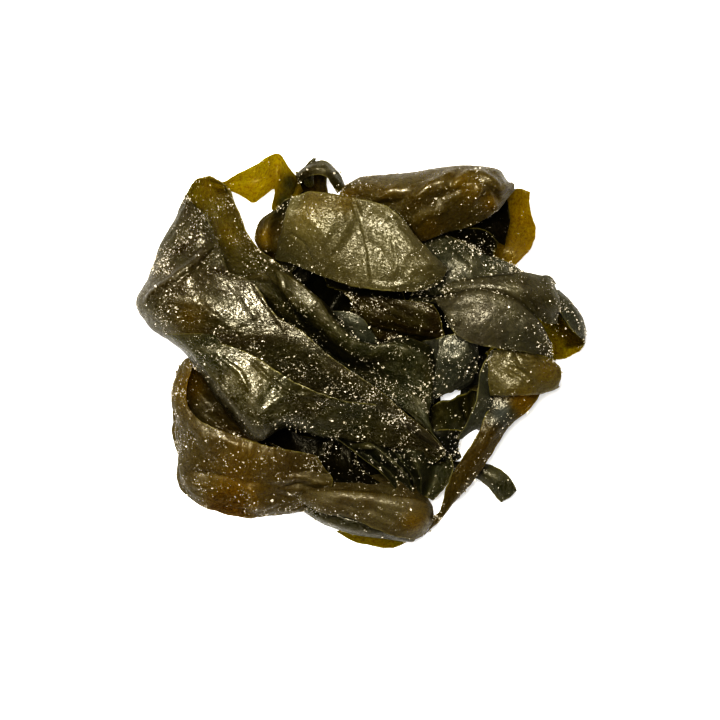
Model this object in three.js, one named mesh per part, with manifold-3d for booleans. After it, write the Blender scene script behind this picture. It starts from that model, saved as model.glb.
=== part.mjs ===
// A dried kelp strip: one long leathery blade, salted and dried, that has been crumpled into a loose
// clump and lies flat on its underside.
//
// The blade is one sheet of even thickness. Where it doubles back it is drawn here as a fold of its
// own, and all folds are joined into a single solid. A fold is lofted through ribs: each rib crosses
// the fold from one margin to the other, and smooth curves run through the ribs along the fold.
//
// Units are millimetres, +Z is up, and the origin is the middle of the footprint on the table.
import * as THREE from "three";
import Module from "manifold-3d";

const wasm = await Module();
wasm.setup();

// Driving dimensions.
const CLUMP_WIDTH = 161; // mm, over the clump's widest part, along X
const BLADE_THICKNESS = 1.1; // mm, of the leathery sheet
const MARGIN_THICKNESS = 0.6; // mm, where the sheet thins towards its margins
const FACET = 8.6; // mm, length of a facet's side on the folds in sight
const INNER_FACET = 11; // mm, the same on the folds underneath
const CONTACT = 0.15; // mm, what comes this close to the table is pressed flat on it

// Every fold is drawn in plan on squared paper: x runs right, y runs down and the third number is the
// height over the table, all in squares.
const CLUMP_SQUARES = 447; // squares across the clump's width
const SQUARE = CLUMP_WIDTH / CLUMP_SQUARES; // mm
const PLAN_MIDDLE = { x: 363, y: 351 }; // squares, where the origin lies on the paper
const BEND = 4; // squares, how tightly the blade turns back under itself
const SLOPE_AT = 0.2; // of the way back under: the blade has begun to come down
const SLOPE_LEFT = 0.55; // of its drop, still to go at that place
const LEVEL_AT = 0.7; // of the way back under: from here on the blade is level

const LEATHERY_OLIVE = { color: 0x3a3718, roughness: 0.42, metalness: 0 };
const FOLDS = {
  // The widest stretch, from its free upper margin over a crest to the outline on the left.
  front_blade: {
    ribs: [
      [[190, 201, 60], [190, 200, 60], [189, 199, 58], [189, 198, 56], [188, 197, 52], [189, 198, 46]],
      [[203, 216, 67], [198, 216, 68], [191, 216, 66], [184, 215, 60], [180, 215, 50], [186, 216, 38]],
      [[219, 243, 74], [207, 246, 78], [191, 248, 74], [174, 246, 66], [164, 245, 52], [174, 248, 36]],
      [[231, 274, 80], [213, 272, 82], [190, 276, 90], [161, 279, 74], [149, 283, 50], [160, 288, 30]],
      [[254, 283, 88], [230, 292, 84], [196, 302, 90], [158, 306, 76], [139, 302, 46], [154, 308, 26]],
      [[276, 314, 92], [252, 318, 89], [214, 324, 86], [176, 328, 72], [150, 323, 46], [164, 330, 26]],
      [[290, 324, 93], [268, 331, 90], [244, 340, 83], [214, 345, 76], [186, 345, 56], [192, 349, 38]],
      [[303, 331, 93], [285, 339, 90], [265, 348, 80], [245, 354, 72], [226, 358, 60], [220, 362, 48]],
      [[324, 350, 92], [308, 356, 88], [290, 363, 76], [272, 368, 68], [254, 374, 58], [246, 378, 50]],
      [[346, 367, 90], [332, 373, 85], [316, 379, 72], [300, 384, 64], [284, 390, 56], [276, 394, 50]],
      [[378, 388, 86], [364, 392, 80], [348, 395, 68], [334, 398, 61], [320, 404, 54], [312, 408, 50]],
      [[402, 409, 81], [390, 411, 75], [378, 411, 64], [366, 414, 57], [354, 420, 52], [346, 424, 48]],
      [[425, 428, 72], [416, 428, 67], [406, 427, 58], [396, 429, 53], [386, 434, 48], [378, 438, 44]],
      [[446, 449, 60], [440, 448, 57], [433, 446, 51], [426, 448, 47], [418, 452, 43], [412, 456, 40]],
    ],
  },
  // The lobe in front of it: its free upper margin stands over a groove.
  front_lobe: {
    ribs: [
      [[214, 333, 80], [202, 334, 80], [186, 334, 74], [170, 333, 62], [158, 329, 46], [168, 334, 30]],
      [[222, 343, 88], [212, 348, 88], [202, 352, 84], [192, 353, 70], [186, 352, 50], [190, 353, 34]],
      [[241, 349, 91], [233, 357, 90], [223, 366, 87], [212, 373, 78], [205, 376, 58], [206, 378, 46]],
      [[262, 360, 91], [255, 371, 90], [245, 385, 90], [233, 399, 84], [226, 405, 60], [224, 404, 50]],
      [[288, 377, 90], [281, 387, 88], [271, 402, 89], [264, 422, 84], [258, 439, 64], [256, 438, 55]],
      [[314, 389, 88], [308, 397, 82], [300, 407, 81], [290, 418, 75], [284, 427, 60], [281, 426, 53]],
      [[348, 400, 84], [343, 407, 77], [336, 416, 71], [329, 426, 63], [325, 435, 56], [322, 434, 50]],
      [[377, 404, 78], [375, 411, 71], [371, 421, 64], [367, 431, 58], [365, 441, 50], [362, 440, 46]],
      [[404, 413, 71], [402, 419, 66], [398, 428, 59], [394, 437, 54], [391, 446, 47], [388, 445, 43]],
      [[428, 428, 63], [428, 432, 59], [426, 438, 55], [421, 445, 50], [416, 452, 45], [413, 451, 42]],
      [[446, 449, 56], [446, 451, 54], [444, 454, 51], [440, 458, 47], [436, 461, 43], [433, 461, 41]],
    ],
  },
  // The same stretch underneath, back inwards and down to the table.
  front_return: {
    ribs: [
      [[189, 198, 46], [196, 206, 36], [212, 222, 28]],
      [[186, 216, 38], [202, 224, 26], [228, 242, 20]],
      [[174, 248, 36], [200, 257, 20], [236, 272, 14]],
      [[160, 288, 30], [190, 296, 12], [238, 302, 8]],
      [[154, 308, 26], [190, 316, 6], [242, 322, 1]],
      [[166, 331, 28], [200, 338, 6], [252, 346, 1]],
      [[191, 353, 34], [216, 362, 10], [258, 376, 1]],
      [[206, 378, 46], [228, 388, 28], [264, 402, 12]],
    ],
  },
  // Behind it the blade lies as a trough, then as a ridge, and ends in the middle.
  inner_blade: {
    under: { side: "end", reach: 60, height: 24 },
    ribs: [
      [[194, 186, 60], [200, 181, 56], [211, 179, 52], [222, 184, 52], [231, 192, 56]],
      [[190, 194, 52], [198, 190, 46], [210, 189, 42], [222, 193, 45], [233, 200, 54]],
      [[182, 214, 40], [196, 211, 34], [211, 210, 33], [226, 210, 40], [237, 211, 52]],
      [[172, 246, 38], [196, 245, 34], [217, 245, 36], [236, 244, 44], [252, 243, 56]],
      [[196, 282, 48], [218, 276, 48], [240, 270, 52], [260, 264, 62], [277, 263, 70]],
      [[250, 292, 60], [264, 286, 66], [277, 280, 80], [288, 276, 88], [297, 277, 76]],
      [[278, 318, 44], [289, 312, 62], [300, 305, 91], [314, 296, 94], [321, 298, 76]],
      [[306, 342, 34], [314, 336, 48], [322, 329, 85], [335, 320, 89], [341, 320, 72]],
      [[338, 366, 32], [345, 361, 44], [352, 354, 78], [361, 342, 83], [366, 341, 64]],
      [[370, 390, 34], [380, 377, 52], [389, 361, 70], [396, 345, 79], [401, 336, 60]],
      [[408, 414, 50], [412, 396, 58], [417, 376, 65], [422, 356, 71], [427, 344, 57]],
      [[434, 436, 50], [429, 414, 55], [431, 392, 58], [433, 368, 59], [434, 350, 48]],
    ],
  },
  // An open loop in front on the left: its wall leans out from a rolled rim to the table.
  loop_wall: {
    under: { side: "last", reach: 40, height: 1 },
    ribs: [
      [[196, 358, 42], [192, 359, 42], [187, 362, 36], [183, 366, 26], [181, 371, 14]],
      [[189, 388, 47], [185, 388, 46], [180, 388, 36], [177, 389, 20], [179, 390, 8]],
      [[190, 407, 51], [186, 410, 50], [182, 414, 38], [179, 418, 20], [180, 420, 6]],
      [[204, 421, 56], [200, 431, 54], [193, 443, 42], [183, 454, 22], [182, 459, 6]],
      [[226, 430, 58], [221, 446, 54], [208, 467, 40], [191, 484, 22], [185, 487, 5]],
      [[248, 438, 58], [244, 456, 54], [234, 479, 38], [219, 498, 20], [210, 504, 4]],
      [[272, 445, 54], [270, 462, 50], [264, 481, 36], [254, 500, 20], [248, 512, 4]],
      [[298, 450, 48], [299, 464, 44], [297, 480, 34], [288, 497, 20], [282, 511, 6]],
      [[315, 456, 40], [324, 467, 38], [333, 478, 32], [324, 491, 24], [306, 507, 12]],
    ],
  },
  // The floor of that loop.
  loop_floor: {
    ribs: [
      [[188, 370, 24], [198, 366, 22], [212, 370, 30]],
      [[182, 388, 18], [202, 390, 14], [228, 396, 24]],
      [[184, 408, 16], [212, 411, 12], [236, 418, 22]],
      [[196, 428, 12], [225, 430, 10], [252, 434, 18]],
      [[215, 448, 8], [245, 450, 10], [290, 452, 16]],
    ],
  },
  // The tongue along the front.
  bottom_band: {
    under: { side: "first", reach: 34, height: 12 },
    ribs: [
      [[299, 489, 24], [300, 495, 26], [301, 501, 22]],
      [[324, 491, 42], [324, 501, 44], [322, 512, 36]],
      [[354, 492, 47], [351, 505, 47], [348, 516, 39]],
      [[386, 495, 47], [382, 513, 47], [376, 528, 39]],
      [[411, 498, 45], [407, 518, 46], [399, 536, 35]],
      [[424, 503, 39], [425, 516, 39], [413, 538, 24]],
      [[431, 507, 28], [432, 520, 24], [421, 535, 12]],
    ],
  },
  // The narrow ribbon that runs up from the tongue's corner and widens on the right.
  side_ribbon: {
    ribs: [
      [[427, 516, 20], [430, 526, 16], [424, 534, 10]],
      [[438, 511, 30], [441, 514, 28], [444, 511, 22]],
      [[446, 485, 41], [454, 490, 38], [461, 492, 30]],
      [[461, 458, 47], [470, 465, 44], [480, 468, 35]],
      [[477, 433, 50], [487, 440, 48], [498, 441, 38]],
      [[484, 416, 50], [497, 423, 50], [509, 424, 40]],
      [[489, 404, 46], [508, 409, 47], [526, 410, 37]],
      [[492, 392, 44], [515, 395, 46], [537, 396, 37]],
      [[494, 378, 40], [518, 380, 44], [542, 384, 36]],
    ],
  },
  // A fold in the tongue's shade.
  band_shadow: {
    under: { side: "first", reach: 46, height: 24 },
    ribs: [
      [[310, 501, 20], [307, 507, 16], [304, 509, 10]],
      [[344, 516, 24], [338, 524, 20], [332, 526, 10]],
      [[372, 524, 24], [367, 531, 19], [360, 535, 12]],
      [[396, 532, 22], [393, 535, 17], [390, 538, 12]],
      [[418, 534, 16], [414, 539, 12], [409, 540, 8]],
    ],
  },
  // Its thin margin on the table.
  band_lens: {
    under: { side: "first", reach: 34, height: 26 },
    ribs: [
      [[345, 520, 12], [341, 528, 9], [337, 531, 4]],
      [[362, 526, 12], [358, 536, 8], [355, 541, 3]],
      [[380, 530, 12], [377, 540, 7], [376, 546, 3]],
      [[396, 532, 12], [395, 541, 7], [394, 547, 3]],
      [[408, 534, 10], [407, 539, 7], [405, 542, 3]],
    ],
  },
  // The blade's narrow end, curled out past the ribbon.
  end_curl: {
    ribs: [
      [[412, 460, 8], [413, 468, 10], [414, 476, 8]],
      [[440, 462, 11], [440, 470, 14], [440, 478, 10]],
      [[468, 462, 14], [467, 470, 17], [466, 478, 13]],
      [[480, 464, 16], [478, 470, 20], [476, 477, 15]],
      [[492, 466, 18], [488, 474, 21], [484, 482, 14]],
      [[503, 472, 17], [497, 480, 20], [491, 488, 12]],
      [[511, 480, 14], [504, 488, 15], [496, 495, 8]],
      [[516, 490, 10], [509, 496, 10], [501, 501, 5]],
    ],
  },
  // The bent ribbon at the back on the left.
  top_ribbon: {
    under: { side: "end", reach: 44, height: 20 },
    ribs: [
      [[209, 180, 50], [213, 186, 52], [218, 194, 50]],
      [[222, 184, 48], [226, 188, 50], [231, 192, 47]],
      [[238, 175, 40], [240, 185, 43], [243, 197, 39]],
      [[256, 166, 36], [255, 184, 40], [254, 203, 34]],
      [[270, 158, 38], [267, 178, 43], [263, 198, 37]],
      [[279, 155, 44], [278, 172, 48], [275, 190, 44]],
      [[287, 166, 40], [281, 187, 42], [272, 210, 38]],
      [[298, 178, 34], [291, 196, 36], [280, 216, 32]],
    ],
  },
  // A small tube at the back.
  back_arch: {
    ribs: [
      [[295, 179, 30], [298, 181, 34], [301, 184, 32]],
      [[303, 171, 44], [304, 174, 50], [306, 179, 48]],
      [[315, 164, 52], [316, 170, 60], [317, 176, 58]],
      [[326, 163, 52], [326, 171, 60], [326, 178, 58]],
      [[338, 174, 44], [334, 178, 52], [331, 184, 50]],
      [[344, 187, 32], [341, 190, 38], [337, 193, 36]],
    ],
  },
  // The floor of that tube.
  back_arch_floor: {
    under: { side: "end", reach: 30, height: 18 },
    ribs: [
      [[296, 173, 30], [310, 171, 28], [326, 172, 30]],
      [[297, 185, 26], [311, 185, 24], [327, 186, 28]],
      [[298, 198, 30], [312, 200, 28], [328, 202, 32]],
    ],
  },
  // The smooth flap on top.
  top_flap: {
    under: { side: "start", reach: 60, height: 14 },
    ribs: [
      [[276, 261, 54], [280, 246, 74], [284, 231, 88], [287, 214, 95], [291, 198, 91]],
      [[294, 266, 66], [298, 249, 82], [302, 230, 94], [306, 211, 98], [310, 193, 94]],
      [[318, 276, 80], [322, 258, 93], [327, 236, 101], [332, 214, 102], [336, 196, 98]],
      [[346, 286, 88], [351, 265, 94], [356, 242, 97], [361, 218, 100], [365, 201, 97]],
      [[376, 291, 97], [381, 268, 101], [386, 246, 103], [390, 226, 104], [392, 211, 100]],
      [[402, 293, 98], [407, 277, 102], [411, 262, 104], [415, 249, 104], [418, 240, 100]],
      [[424, 291, 94], [428, 283, 97], [432, 275, 98], [436, 267, 98], [439, 261, 94]],
      [[441, 283, 88], [443, 279, 90], [445, 275, 90], [446, 271, 90], [447, 268, 87]],
    ],
  },
  // The flap's own stretch on the left, bent down beside it.
  flap_strip: {
    under: { side: "first", reach: 44, height: 24 },
    ribs: [
      [[276, 212, 72], [280, 208, 77], [286, 203, 80], [294, 199, 78]],
      [[261, 224, 58], [270, 221, 69], [280, 219, 64], [298, 216, 54]],
      [[256, 240, 56], [265, 238, 67], [276, 236, 58], [302, 236, 46]],
      [[260, 250, 54], [267, 247, 63], [278, 248, 58], [306, 250, 44]],
      [[264, 256, 48], [270, 254, 56], [280, 256, 52], [306, 262, 42]],
    ],
  },
  // The large roll at the back, open towards the middle.
  upper_roll: {
    under: { side: "last", reach: 50, height: 1 },
    ribs: [
      [[336, 202, 56], [339, 197, 64], [341, 192, 64], [343, 187, 52], [348, 190, 38]],
      [[368, 216, 66], [366, 202, 80], [363, 189, 86], [361, 179, 70], [366, 186, 38]],
      [[396, 236, 70], [392, 212, 88], [388, 192, 98], [385, 177, 80], [390, 187, 38]],
      [[420, 243, 72], [419, 216, 94], [416, 192, 105], [413, 174, 84], [416, 186, 36]],
      [[443, 235, 74], [446, 210, 94], [447, 187, 106], [446, 169, 84], [446, 184, 34]],
      [[472, 227, 74], [474, 205, 92], [475, 185, 103], [475, 168, 82], [473, 184, 32]],
      [[497, 212, 72], [497, 197, 86], [497, 183, 92], [497, 171, 74], [493, 184, 32]],
      [[513, 192, 62], [512, 189, 66], [510, 186, 64], [507, 182, 54], [503, 187, 34]],
    ],
  },
  // The roll's inside at its right end.
  roll_inner: {
    under: { side: "first", reach: 40, height: 12 },
    ribs: [
      [[462, 204, 44], [466, 214, 36], [470, 234, 36]],
      [[486, 200, 42], [488, 218, 30], [490, 240, 30]],
      [[506, 198, 38], [509, 220, 26], [503, 245, 24]],
    ],
  },
  // A single thickness that hangs out of the roll on the right.
  roll_apron: {
    under: { side: "first", reach: 40, height: 6 },
    ribs: [
      [[502, 197, 44], [516, 191, 50], [530, 193, 40]],
      [[496, 212, 28], [515, 208, 28], [529, 212, 32]],
      [[490, 228, 18], [513, 226, 18], [535, 231, 22]],
      [[485, 246, 14], [506, 246, 12], [530, 248, 16]],
      [[478, 264, 12], [496, 264, 10], [513, 268, 12]],
    ],
  },
  // The pocket in front of the roll.
  pocket: {
    under: { side: "last", reach: 40, height: 26 },
    ribs: [
      [[446, 232, 50], [448, 246, 44], [448, 262, 52]],
      [[468, 227, 58], [466, 243, 44], [464, 260, 56]],
      [[487, 230, 60], [484, 246, 44], [481, 262, 56]],
      [[498, 242, 56], [495, 251, 48], [490, 264, 50]],
    ],
  },
  // The band between the pocket and the right-hand folds.
  salted_band: {
    under: { side: "last", reach: 40, height: 30 },
    ribs: [
      [[422, 244, 56], [420, 268, 70], [410, 296, 60]],
      [[446, 237, 54], [444, 264, 72], [438, 292, 64]],
      [[468, 247, 56], [472, 268, 70], [474, 292, 64]],
      [[499, 262, 50], [504, 276, 58], [506, 292, 54]],
      [[523, 278, 34], [527, 286, 42], [530, 298, 40]],
    ],
  },
  // The broad lobe right of the middle.
  middle_lobe: {
    under: { side: "first", reach: 30, height: 30 },
    ribs: [
      [[434, 300, 72], [437, 303, 77], [440, 306, 78], [443, 309, 76]],
      [[450, 300, 80], [449, 308, 86], [448, 316, 88], [448, 323, 84]],
      [[468, 293, 82], [465, 308, 88], [461, 322, 89], [456, 335, 85]],
      [[490, 294, 83], [486, 312, 88], [480, 330, 88], [474, 344, 83]],
      [[512, 302, 82], [508, 318, 84], [503, 334, 83], [497, 348, 78]],
      [[531, 320, 76], [529, 331, 76], [526, 342, 74], [522, 351, 70]],
      [[548, 344, 58], [549, 348, 57], [550, 353, 54], [551, 358, 50]],
    ],
  },
  // The band over that lobe.
  right_band: {
    under: { side: "first", reach: 64, height: 16 },
    ribs: [
      [[436, 288, 66], [442, 293, 70], [448, 299, 64]],
      [[474, 282, 76], [480, 288, 82], [488, 297, 74]],
      [[505, 279, 78], [511, 290, 84], [518, 305, 74]],
      [[535, 279, 70], [538, 296, 76], [538, 319, 62]],
      [[545, 279, 66], [549, 298, 71], [548, 323, 56]],
      [[552, 286, 58], [557, 303, 62], [555, 323, 48]],
    ],
  },
  // The curled margin at the far right.
  right_curl: {
    under: { side: "last", reach: 16, height: 8 },
    ribs: [
      [[546, 300, 58], [553, 291, 58], [559, 290, 46], [555, 300, 32]],
      [[558, 312, 56], [567, 300, 54], [573, 302, 40], [567, 313, 26]],
      [[567, 325, 46], [576, 316, 46], [582, 317, 32], [575, 326, 20]],
      [[576, 335, 36], [582, 330, 36], [586, 332, 24], [580, 339, 14]],
      [[583, 341, 24], [584, 341, 24], [585, 344, 18], [580, 347, 12]],
    ],
  },
  // A single thickness inside that curl.
  right_inner: {
    under: { side: "first", reach: 64, height: 1 },
    ribs: [
      [[528, 312, 40], [543, 310, 40], [556, 312, 44]],
      [[534, 330, 26], [550, 330, 24], [568, 328, 30]],
      [[541, 348, 18], [560, 346, 15], [584, 343, 20]],
      [[552, 361, 12], [566, 358, 10], [579, 352, 12]],
    ],
  },
  // The lobe in front of the broad one.
  lower_lobe: {
    under: { side: "last", reach: 56, height: 1 },
    ribs: [
      [[487, 352, 54], [488, 366, 60], [488, 380, 62], [489, 394, 58]],
      [[504, 350, 60], [505, 364, 63], [506, 379, 67], [507, 393, 65]],
      [[524, 352, 60], [525, 365, 62], [526, 379, 65], [527, 391, 62]],
      [[545, 358, 52], [547, 368, 54], [547, 379, 53], [545, 389, 49]],
      [[557, 366, 44], [559, 371, 45], [559, 377, 45], [556, 384, 42]],
    ],
  },
  // A pleat on edge next to it.
  side_pleat: {
    under: { side: "last", reach: 34, height: 1 },
    ribs: [
      [[494, 347, 58], [498, 351, 57], [503, 356, 50]],
      [[482, 367, 68], [487, 371, 62], [495, 376, 50]],
      [[477, 396, 65], [483, 399, 59], [492, 404, 46]],
      [[468, 418, 56], [474, 422, 50], [486, 425, 42]],
      [[457, 440, 42], [463, 438, 40], [477, 429, 36]],
    ],
  },
  // The upright panel left of that pleat.
  middle_panel: {
    under: { side: "first", reach: 36, height: 18 },
    ribs: [
      [[437, 338, 66], [452, 334, 69], [467, 336, 69], [478, 341, 58]],
      [[435, 360, 63], [450, 357, 67], [466, 357, 68], [479, 361, 52]],
      [[433, 384, 52], [446, 380, 55], [460, 380, 54], [471, 385, 42]],
      [[429, 402, 44], [441, 396, 48], [452, 392, 48], [460, 391, 42]],
    ],
  },
  // A crinkled patch in front of the panel.
  crinkled_patch: {
    under: { side: "first", reach: 44, height: 2 },
    ribs: [
      [[429, 409, 37], [445, 401, 43], [457, 399, 40], [478, 387, 20]],
      [[429, 419, 31], [445, 416, 36], [459, 413, 30], [475, 410, 16]],
      [[429, 438, 24], [446, 438, 26], [461, 434, 20], [472, 428, 14]],
    ],
  },
  // A leaf deep in the middle hollow.
  slate_leaf: {
    under: { side: "last", reach: 30, height: 18 },
    ribs: [
      [[322, 311, 42], [332, 321, 40], [344, 336, 34]],
      [[345, 311, 48], [353, 324, 46], [364, 342, 38]],
      [[362, 315, 47], [370, 328, 44], [380, 343, 36]],
    ],
  },
  // What shows under the flap's free margin.
  flap_lining: {
    ribs: [
      [[322, 250, 20], [324, 274, 64], [326, 279, 62], [328, 285, 58]],
      [[346, 250, 20], [346, 276, 72], [348, 283, 68], [350, 290, 62]],
      [[370, 252, 20], [372, 280, 76], [374, 287, 71], [376, 293, 64]],
      [[394, 256, 20], [400, 285, 72], [403, 291, 68], [405, 298, 60]],
    ],
  },
  // The fold that closes the hollow on the right.
  brown_fold: {
    under: { side: "last", reach: 40, height: 20 },
    ribs: [
      [[334, 290, 58], [346, 296, 57], [352, 309, 52]],
      [[357, 291, 56], [365, 304, 52], [374, 322, 38]],
      [[382, 296, 58], [390, 308, 54], [398, 326, 36]],
      [[410, 300, 62], [415, 312, 60], [418, 331, 42]],
      [[434, 304, 68], [440, 316, 66], [446, 337, 52]],
    ],
  },
  // A leaf deep in front of the wide stretch.
  dark_leaf: {
    under: { side: "first", reach: 40, height: 12 },
    ribs: [
      [[330, 433, 44], [340, 440, 42], [356, 450, 38]],
      [[314, 456, 42], [332, 460, 42], [360, 466, 36]],
      [[319, 470, 34], [345, 476, 36], [384, 486, 30]],
      [[330, 484, 28], [360, 490, 30], [400, 498, 24]],
    ],
  },
  // The tuck where the pleats meet the upright panel.
  corner_tuck: {
    ribs: [
      [[426, 432, 38], [431, 446, 43], [436, 462, 37]],
      [[444, 430, 36], [447, 444, 40], [450, 461, 35]],
      [[464, 430, 29], [457, 443, 32], [460, 457, 28]],
    ],
  },
  // A small pointed tip by the tube.
  leaf_tip: {
    ribs: [
      [[304, 184, 36], [309, 188, 38], [314, 186, 35]],
      [[304, 172, 44], [309, 175, 46], [313, 171, 43]],
      [[309, 164, 49], [311, 166, 50], [314, 165, 49]],
      [[315, 158, 52], [315, 159, 52], [316, 159, 52]],
    ],
  },
  // A fan of pleats that gathers towards the tongue's corner.
  fan_pleats: {
    under: { side: "start", reach: 44, height: 20 },
    ribs: [
      [
        [332, 434, 56], [350, 443, 34], [371, 444, 58], [390, 446, 34],
        [414, 450, 58], [432, 453, 36], [450, 455, 50],
      ],
      [
        [356, 452, 53], [372, 458, 30], [389, 458, 57], [402, 461, 30],
        [417, 464, 55], [435, 466, 33], [452, 468, 46],
      ],
      [
        [382, 472, 46], [393, 475, 23], [404, 472, 51], [412, 476, 22],
        [420, 479, 48], [432, 481, 28], [444, 485, 40],
      ],
      [
        [404, 497, 27], [408, 494, 18], [413, 490, 38], [416, 491, 18],
        [420, 493, 37], [426, 497, 24], [433, 500, 28],
      ],
    ],
  },
};

// The folds underneath carry the others. Each is a round sheet: its reach is how far it goes from its
// middle in evenly spaced directions, the first along +x and the next ones turning towards -y. Its
// margin lifts off the table and pleats run across it.
const INNER_FOLDS = [
  {
    middle: [345, 340],
    reach: [150, 170, 140, 140, 140, 126, 100, 118, 150, 112, 130, 140, 130, 150, 128, 104],
    height: 3,
    lift: 12,
    pleats: { depth: 7, length: 96, heading: 24, start: 0.6 },
  },
  {
    middle: [345, 335],
    reach: [116, 134, 124, 116, 120, 96, 86, 100, 130, 110, 106, 110, 100, 100, 96, 94],
    height: 27,
    lift: 2,
    pleats: { depth: 9, length: 74, heading: -38, start: 0.2 },
  },
];

// A point of the squared paper in millimetres.
function onTable([x, y, z]) {
  return new THREE.Vector3(
    (x - PLAN_MIDDLE.x) * SQUARE,
    (PLAN_MIDDLE.y - y) * SQUARE,
    z * SQUARE,
  );
}

// Curve parameters that cut a band of rows into even steps of about one facet, on their mean length.
function stations(rows, facet) {
  const spans = rows[0].length - 1;
  const reached = [0];
  for (let span = 0; span < spans; span++) {
    const lengths = rows.map((row) => row[span].distanceTo(row[span + 1]));
    const mean = lengths.reduce((sum, length) => sum + length, 0) / lengths.length;
    reached.push(reached[span] + mean);
  }
  const steps = Math.max(2, Math.round(reached[spans] / facet));
  return Array.from({ length: steps + 1 }, (_, step) => {
    const goal = (step / steps) * reached[spans];
    const span = Math.min(spans - 1, reached.findLastIndex((length) => length <= goal));
    return (span + (goal - reached[span]) / (reached[span + 1] - reached[span])) / spans;
  });
}

const turned = (rows) => rows[0].map((_, i) => rows.map((row) => row[i]));

// Points on smooth curves through each row.
function smoothed(rows, facet) {
  const at = stations(rows, facet);
  return rows.map((row) => {
    const curve = new THREE.CatmullRomCurve3(row);
    return at.map((t) => curve.getPoint(t));
  });
}

// More points past a margin point of a fold that turns under itself: round the bend, down on the way
// back towards the middle of the clump, and level to the far end.
function turnUnder([x, y, z], { reach, height }) {
  const away = Math.hypot(PLAN_MIDDLE.x - x, PLAN_MIDDLE.y - y);
  const back = (distance, at) => [
    x + ((PLAN_MIDDLE.x - x) / away) * distance,
    y + ((PLAN_MIDDLE.y - y) / away) * distance,
    at,
  ];
  return [
    back(-BEND / 2, Math.max(z - BEND, 0)),
    back(reach * SLOPE_AT, height + (z - height) * SLOPE_LEFT),
    back(reach * LEVEL_AT, height),
    back(reach, height),
  ];
}

// A fold's ribs with the stretch that turns under, past the first or last point of each rib, or past
// the first or last rib.
function ribsWithUnderside({ ribs, under }) {
  if (!under) return ribs;
  if (under.side === "last") return ribs.map((rib) => [...rib, ...turnUnder(rib.at(-1), under)]);
  if (under.side === "first") return ribs.map((rib) => [...turnUnder(rib[0], under).reverse(), ...rib]);
  const edge = under.side === "start" ? ribs[0] : ribs.at(-1);
  const more = turned(edge.map((point) => turnUnder(point, under)));
  return under.side === "start" ? [...more.reverse(), ...ribs] : [...ribs, ...more];
}

// A fold's middle surface as a grid of points: first across each rib, then along the fold.
function ribbedFold(fold) {
  const ribs = ribsWithUnderside(fold).map((rib) => rib.map(onTable));
  return turned(smoothed(turned(smoothed(ribs, FACET)), FACET));
}

// The reach of a round sheet in any direction, on a closed curve through its listed reaches.
function reachOf(sheet) {
  const ends = sheet.reach.map((reach, i) => {
    const angle = (i / sheet.reach.length) * 2 * Math.PI;
    return new THREE.Vector3(Math.cos(angle) * reach, Math.sin(angle) * reach, 0);
  });
  const outline = new THREE.CatmullRomCurve3(ends, true);
  return (angle) => {
    const turn = (angle / (2 * Math.PI) + 1) % 1;
    return outline.getPoint(turn).length();
  };
}

// A round sheet's middle surface: a square grid eased into a disc, lifted by its pleats and margin.
function innerFold(sheet) {
  const reach = reachOf(sheet);
  const steps = Math.round((2 * Math.max(...sheet.reach) * SQUARE) / INNER_FACET);
  const heading = THREE.MathUtils.degToRad(sheet.pleats.heading);
  const side = (i) => (2 * i) / steps - 1;
  const point = (i, j) => {
    const u = side(i) * Math.sqrt(1 - side(j) ** 2 / 2);
    const v = side(j) * Math.sqrt(1 - side(i) ** 2 / 2);
    const angle = Math.atan2(v, u);
    const share = Math.min(1, Math.hypot(u, v));
    const out = share * reach(angle);
    const x = out * Math.cos(angle);
    const y = out * Math.sin(angle);
    const along = x * Math.cos(heading) + y * Math.sin(heading);
    const wave = Math.sin(2 * Math.PI * (along / sheet.pleats.length + sheet.pleats.start));
    const z = sheet.height + sheet.pleats.depth * wave + sheet.lift * share ** 3;
    return onTable([sheet.middle[0] + x, sheet.middle[1] - y, z]);
  };
  const count = Array.from({ length: steps + 1 }, (_, i) => i);
  return count.map((i) => count.map((j) => point(i, j)));
}

// The upward normal of a grid at one of its points.
function normalAt(grid, i, j) {
  const last = [grid.length - 1, grid[0].length - 1];
  const along = grid[Math.min(i + 1, last[0])][j].clone().sub(grid[Math.max(i - 1, 0)][j]);
  const across = grid[i][Math.min(j + 1, last[1])].clone().sub(grid[i][Math.max(j - 1, 0)]);
  return along.cross(across).normalize();
}

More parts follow.
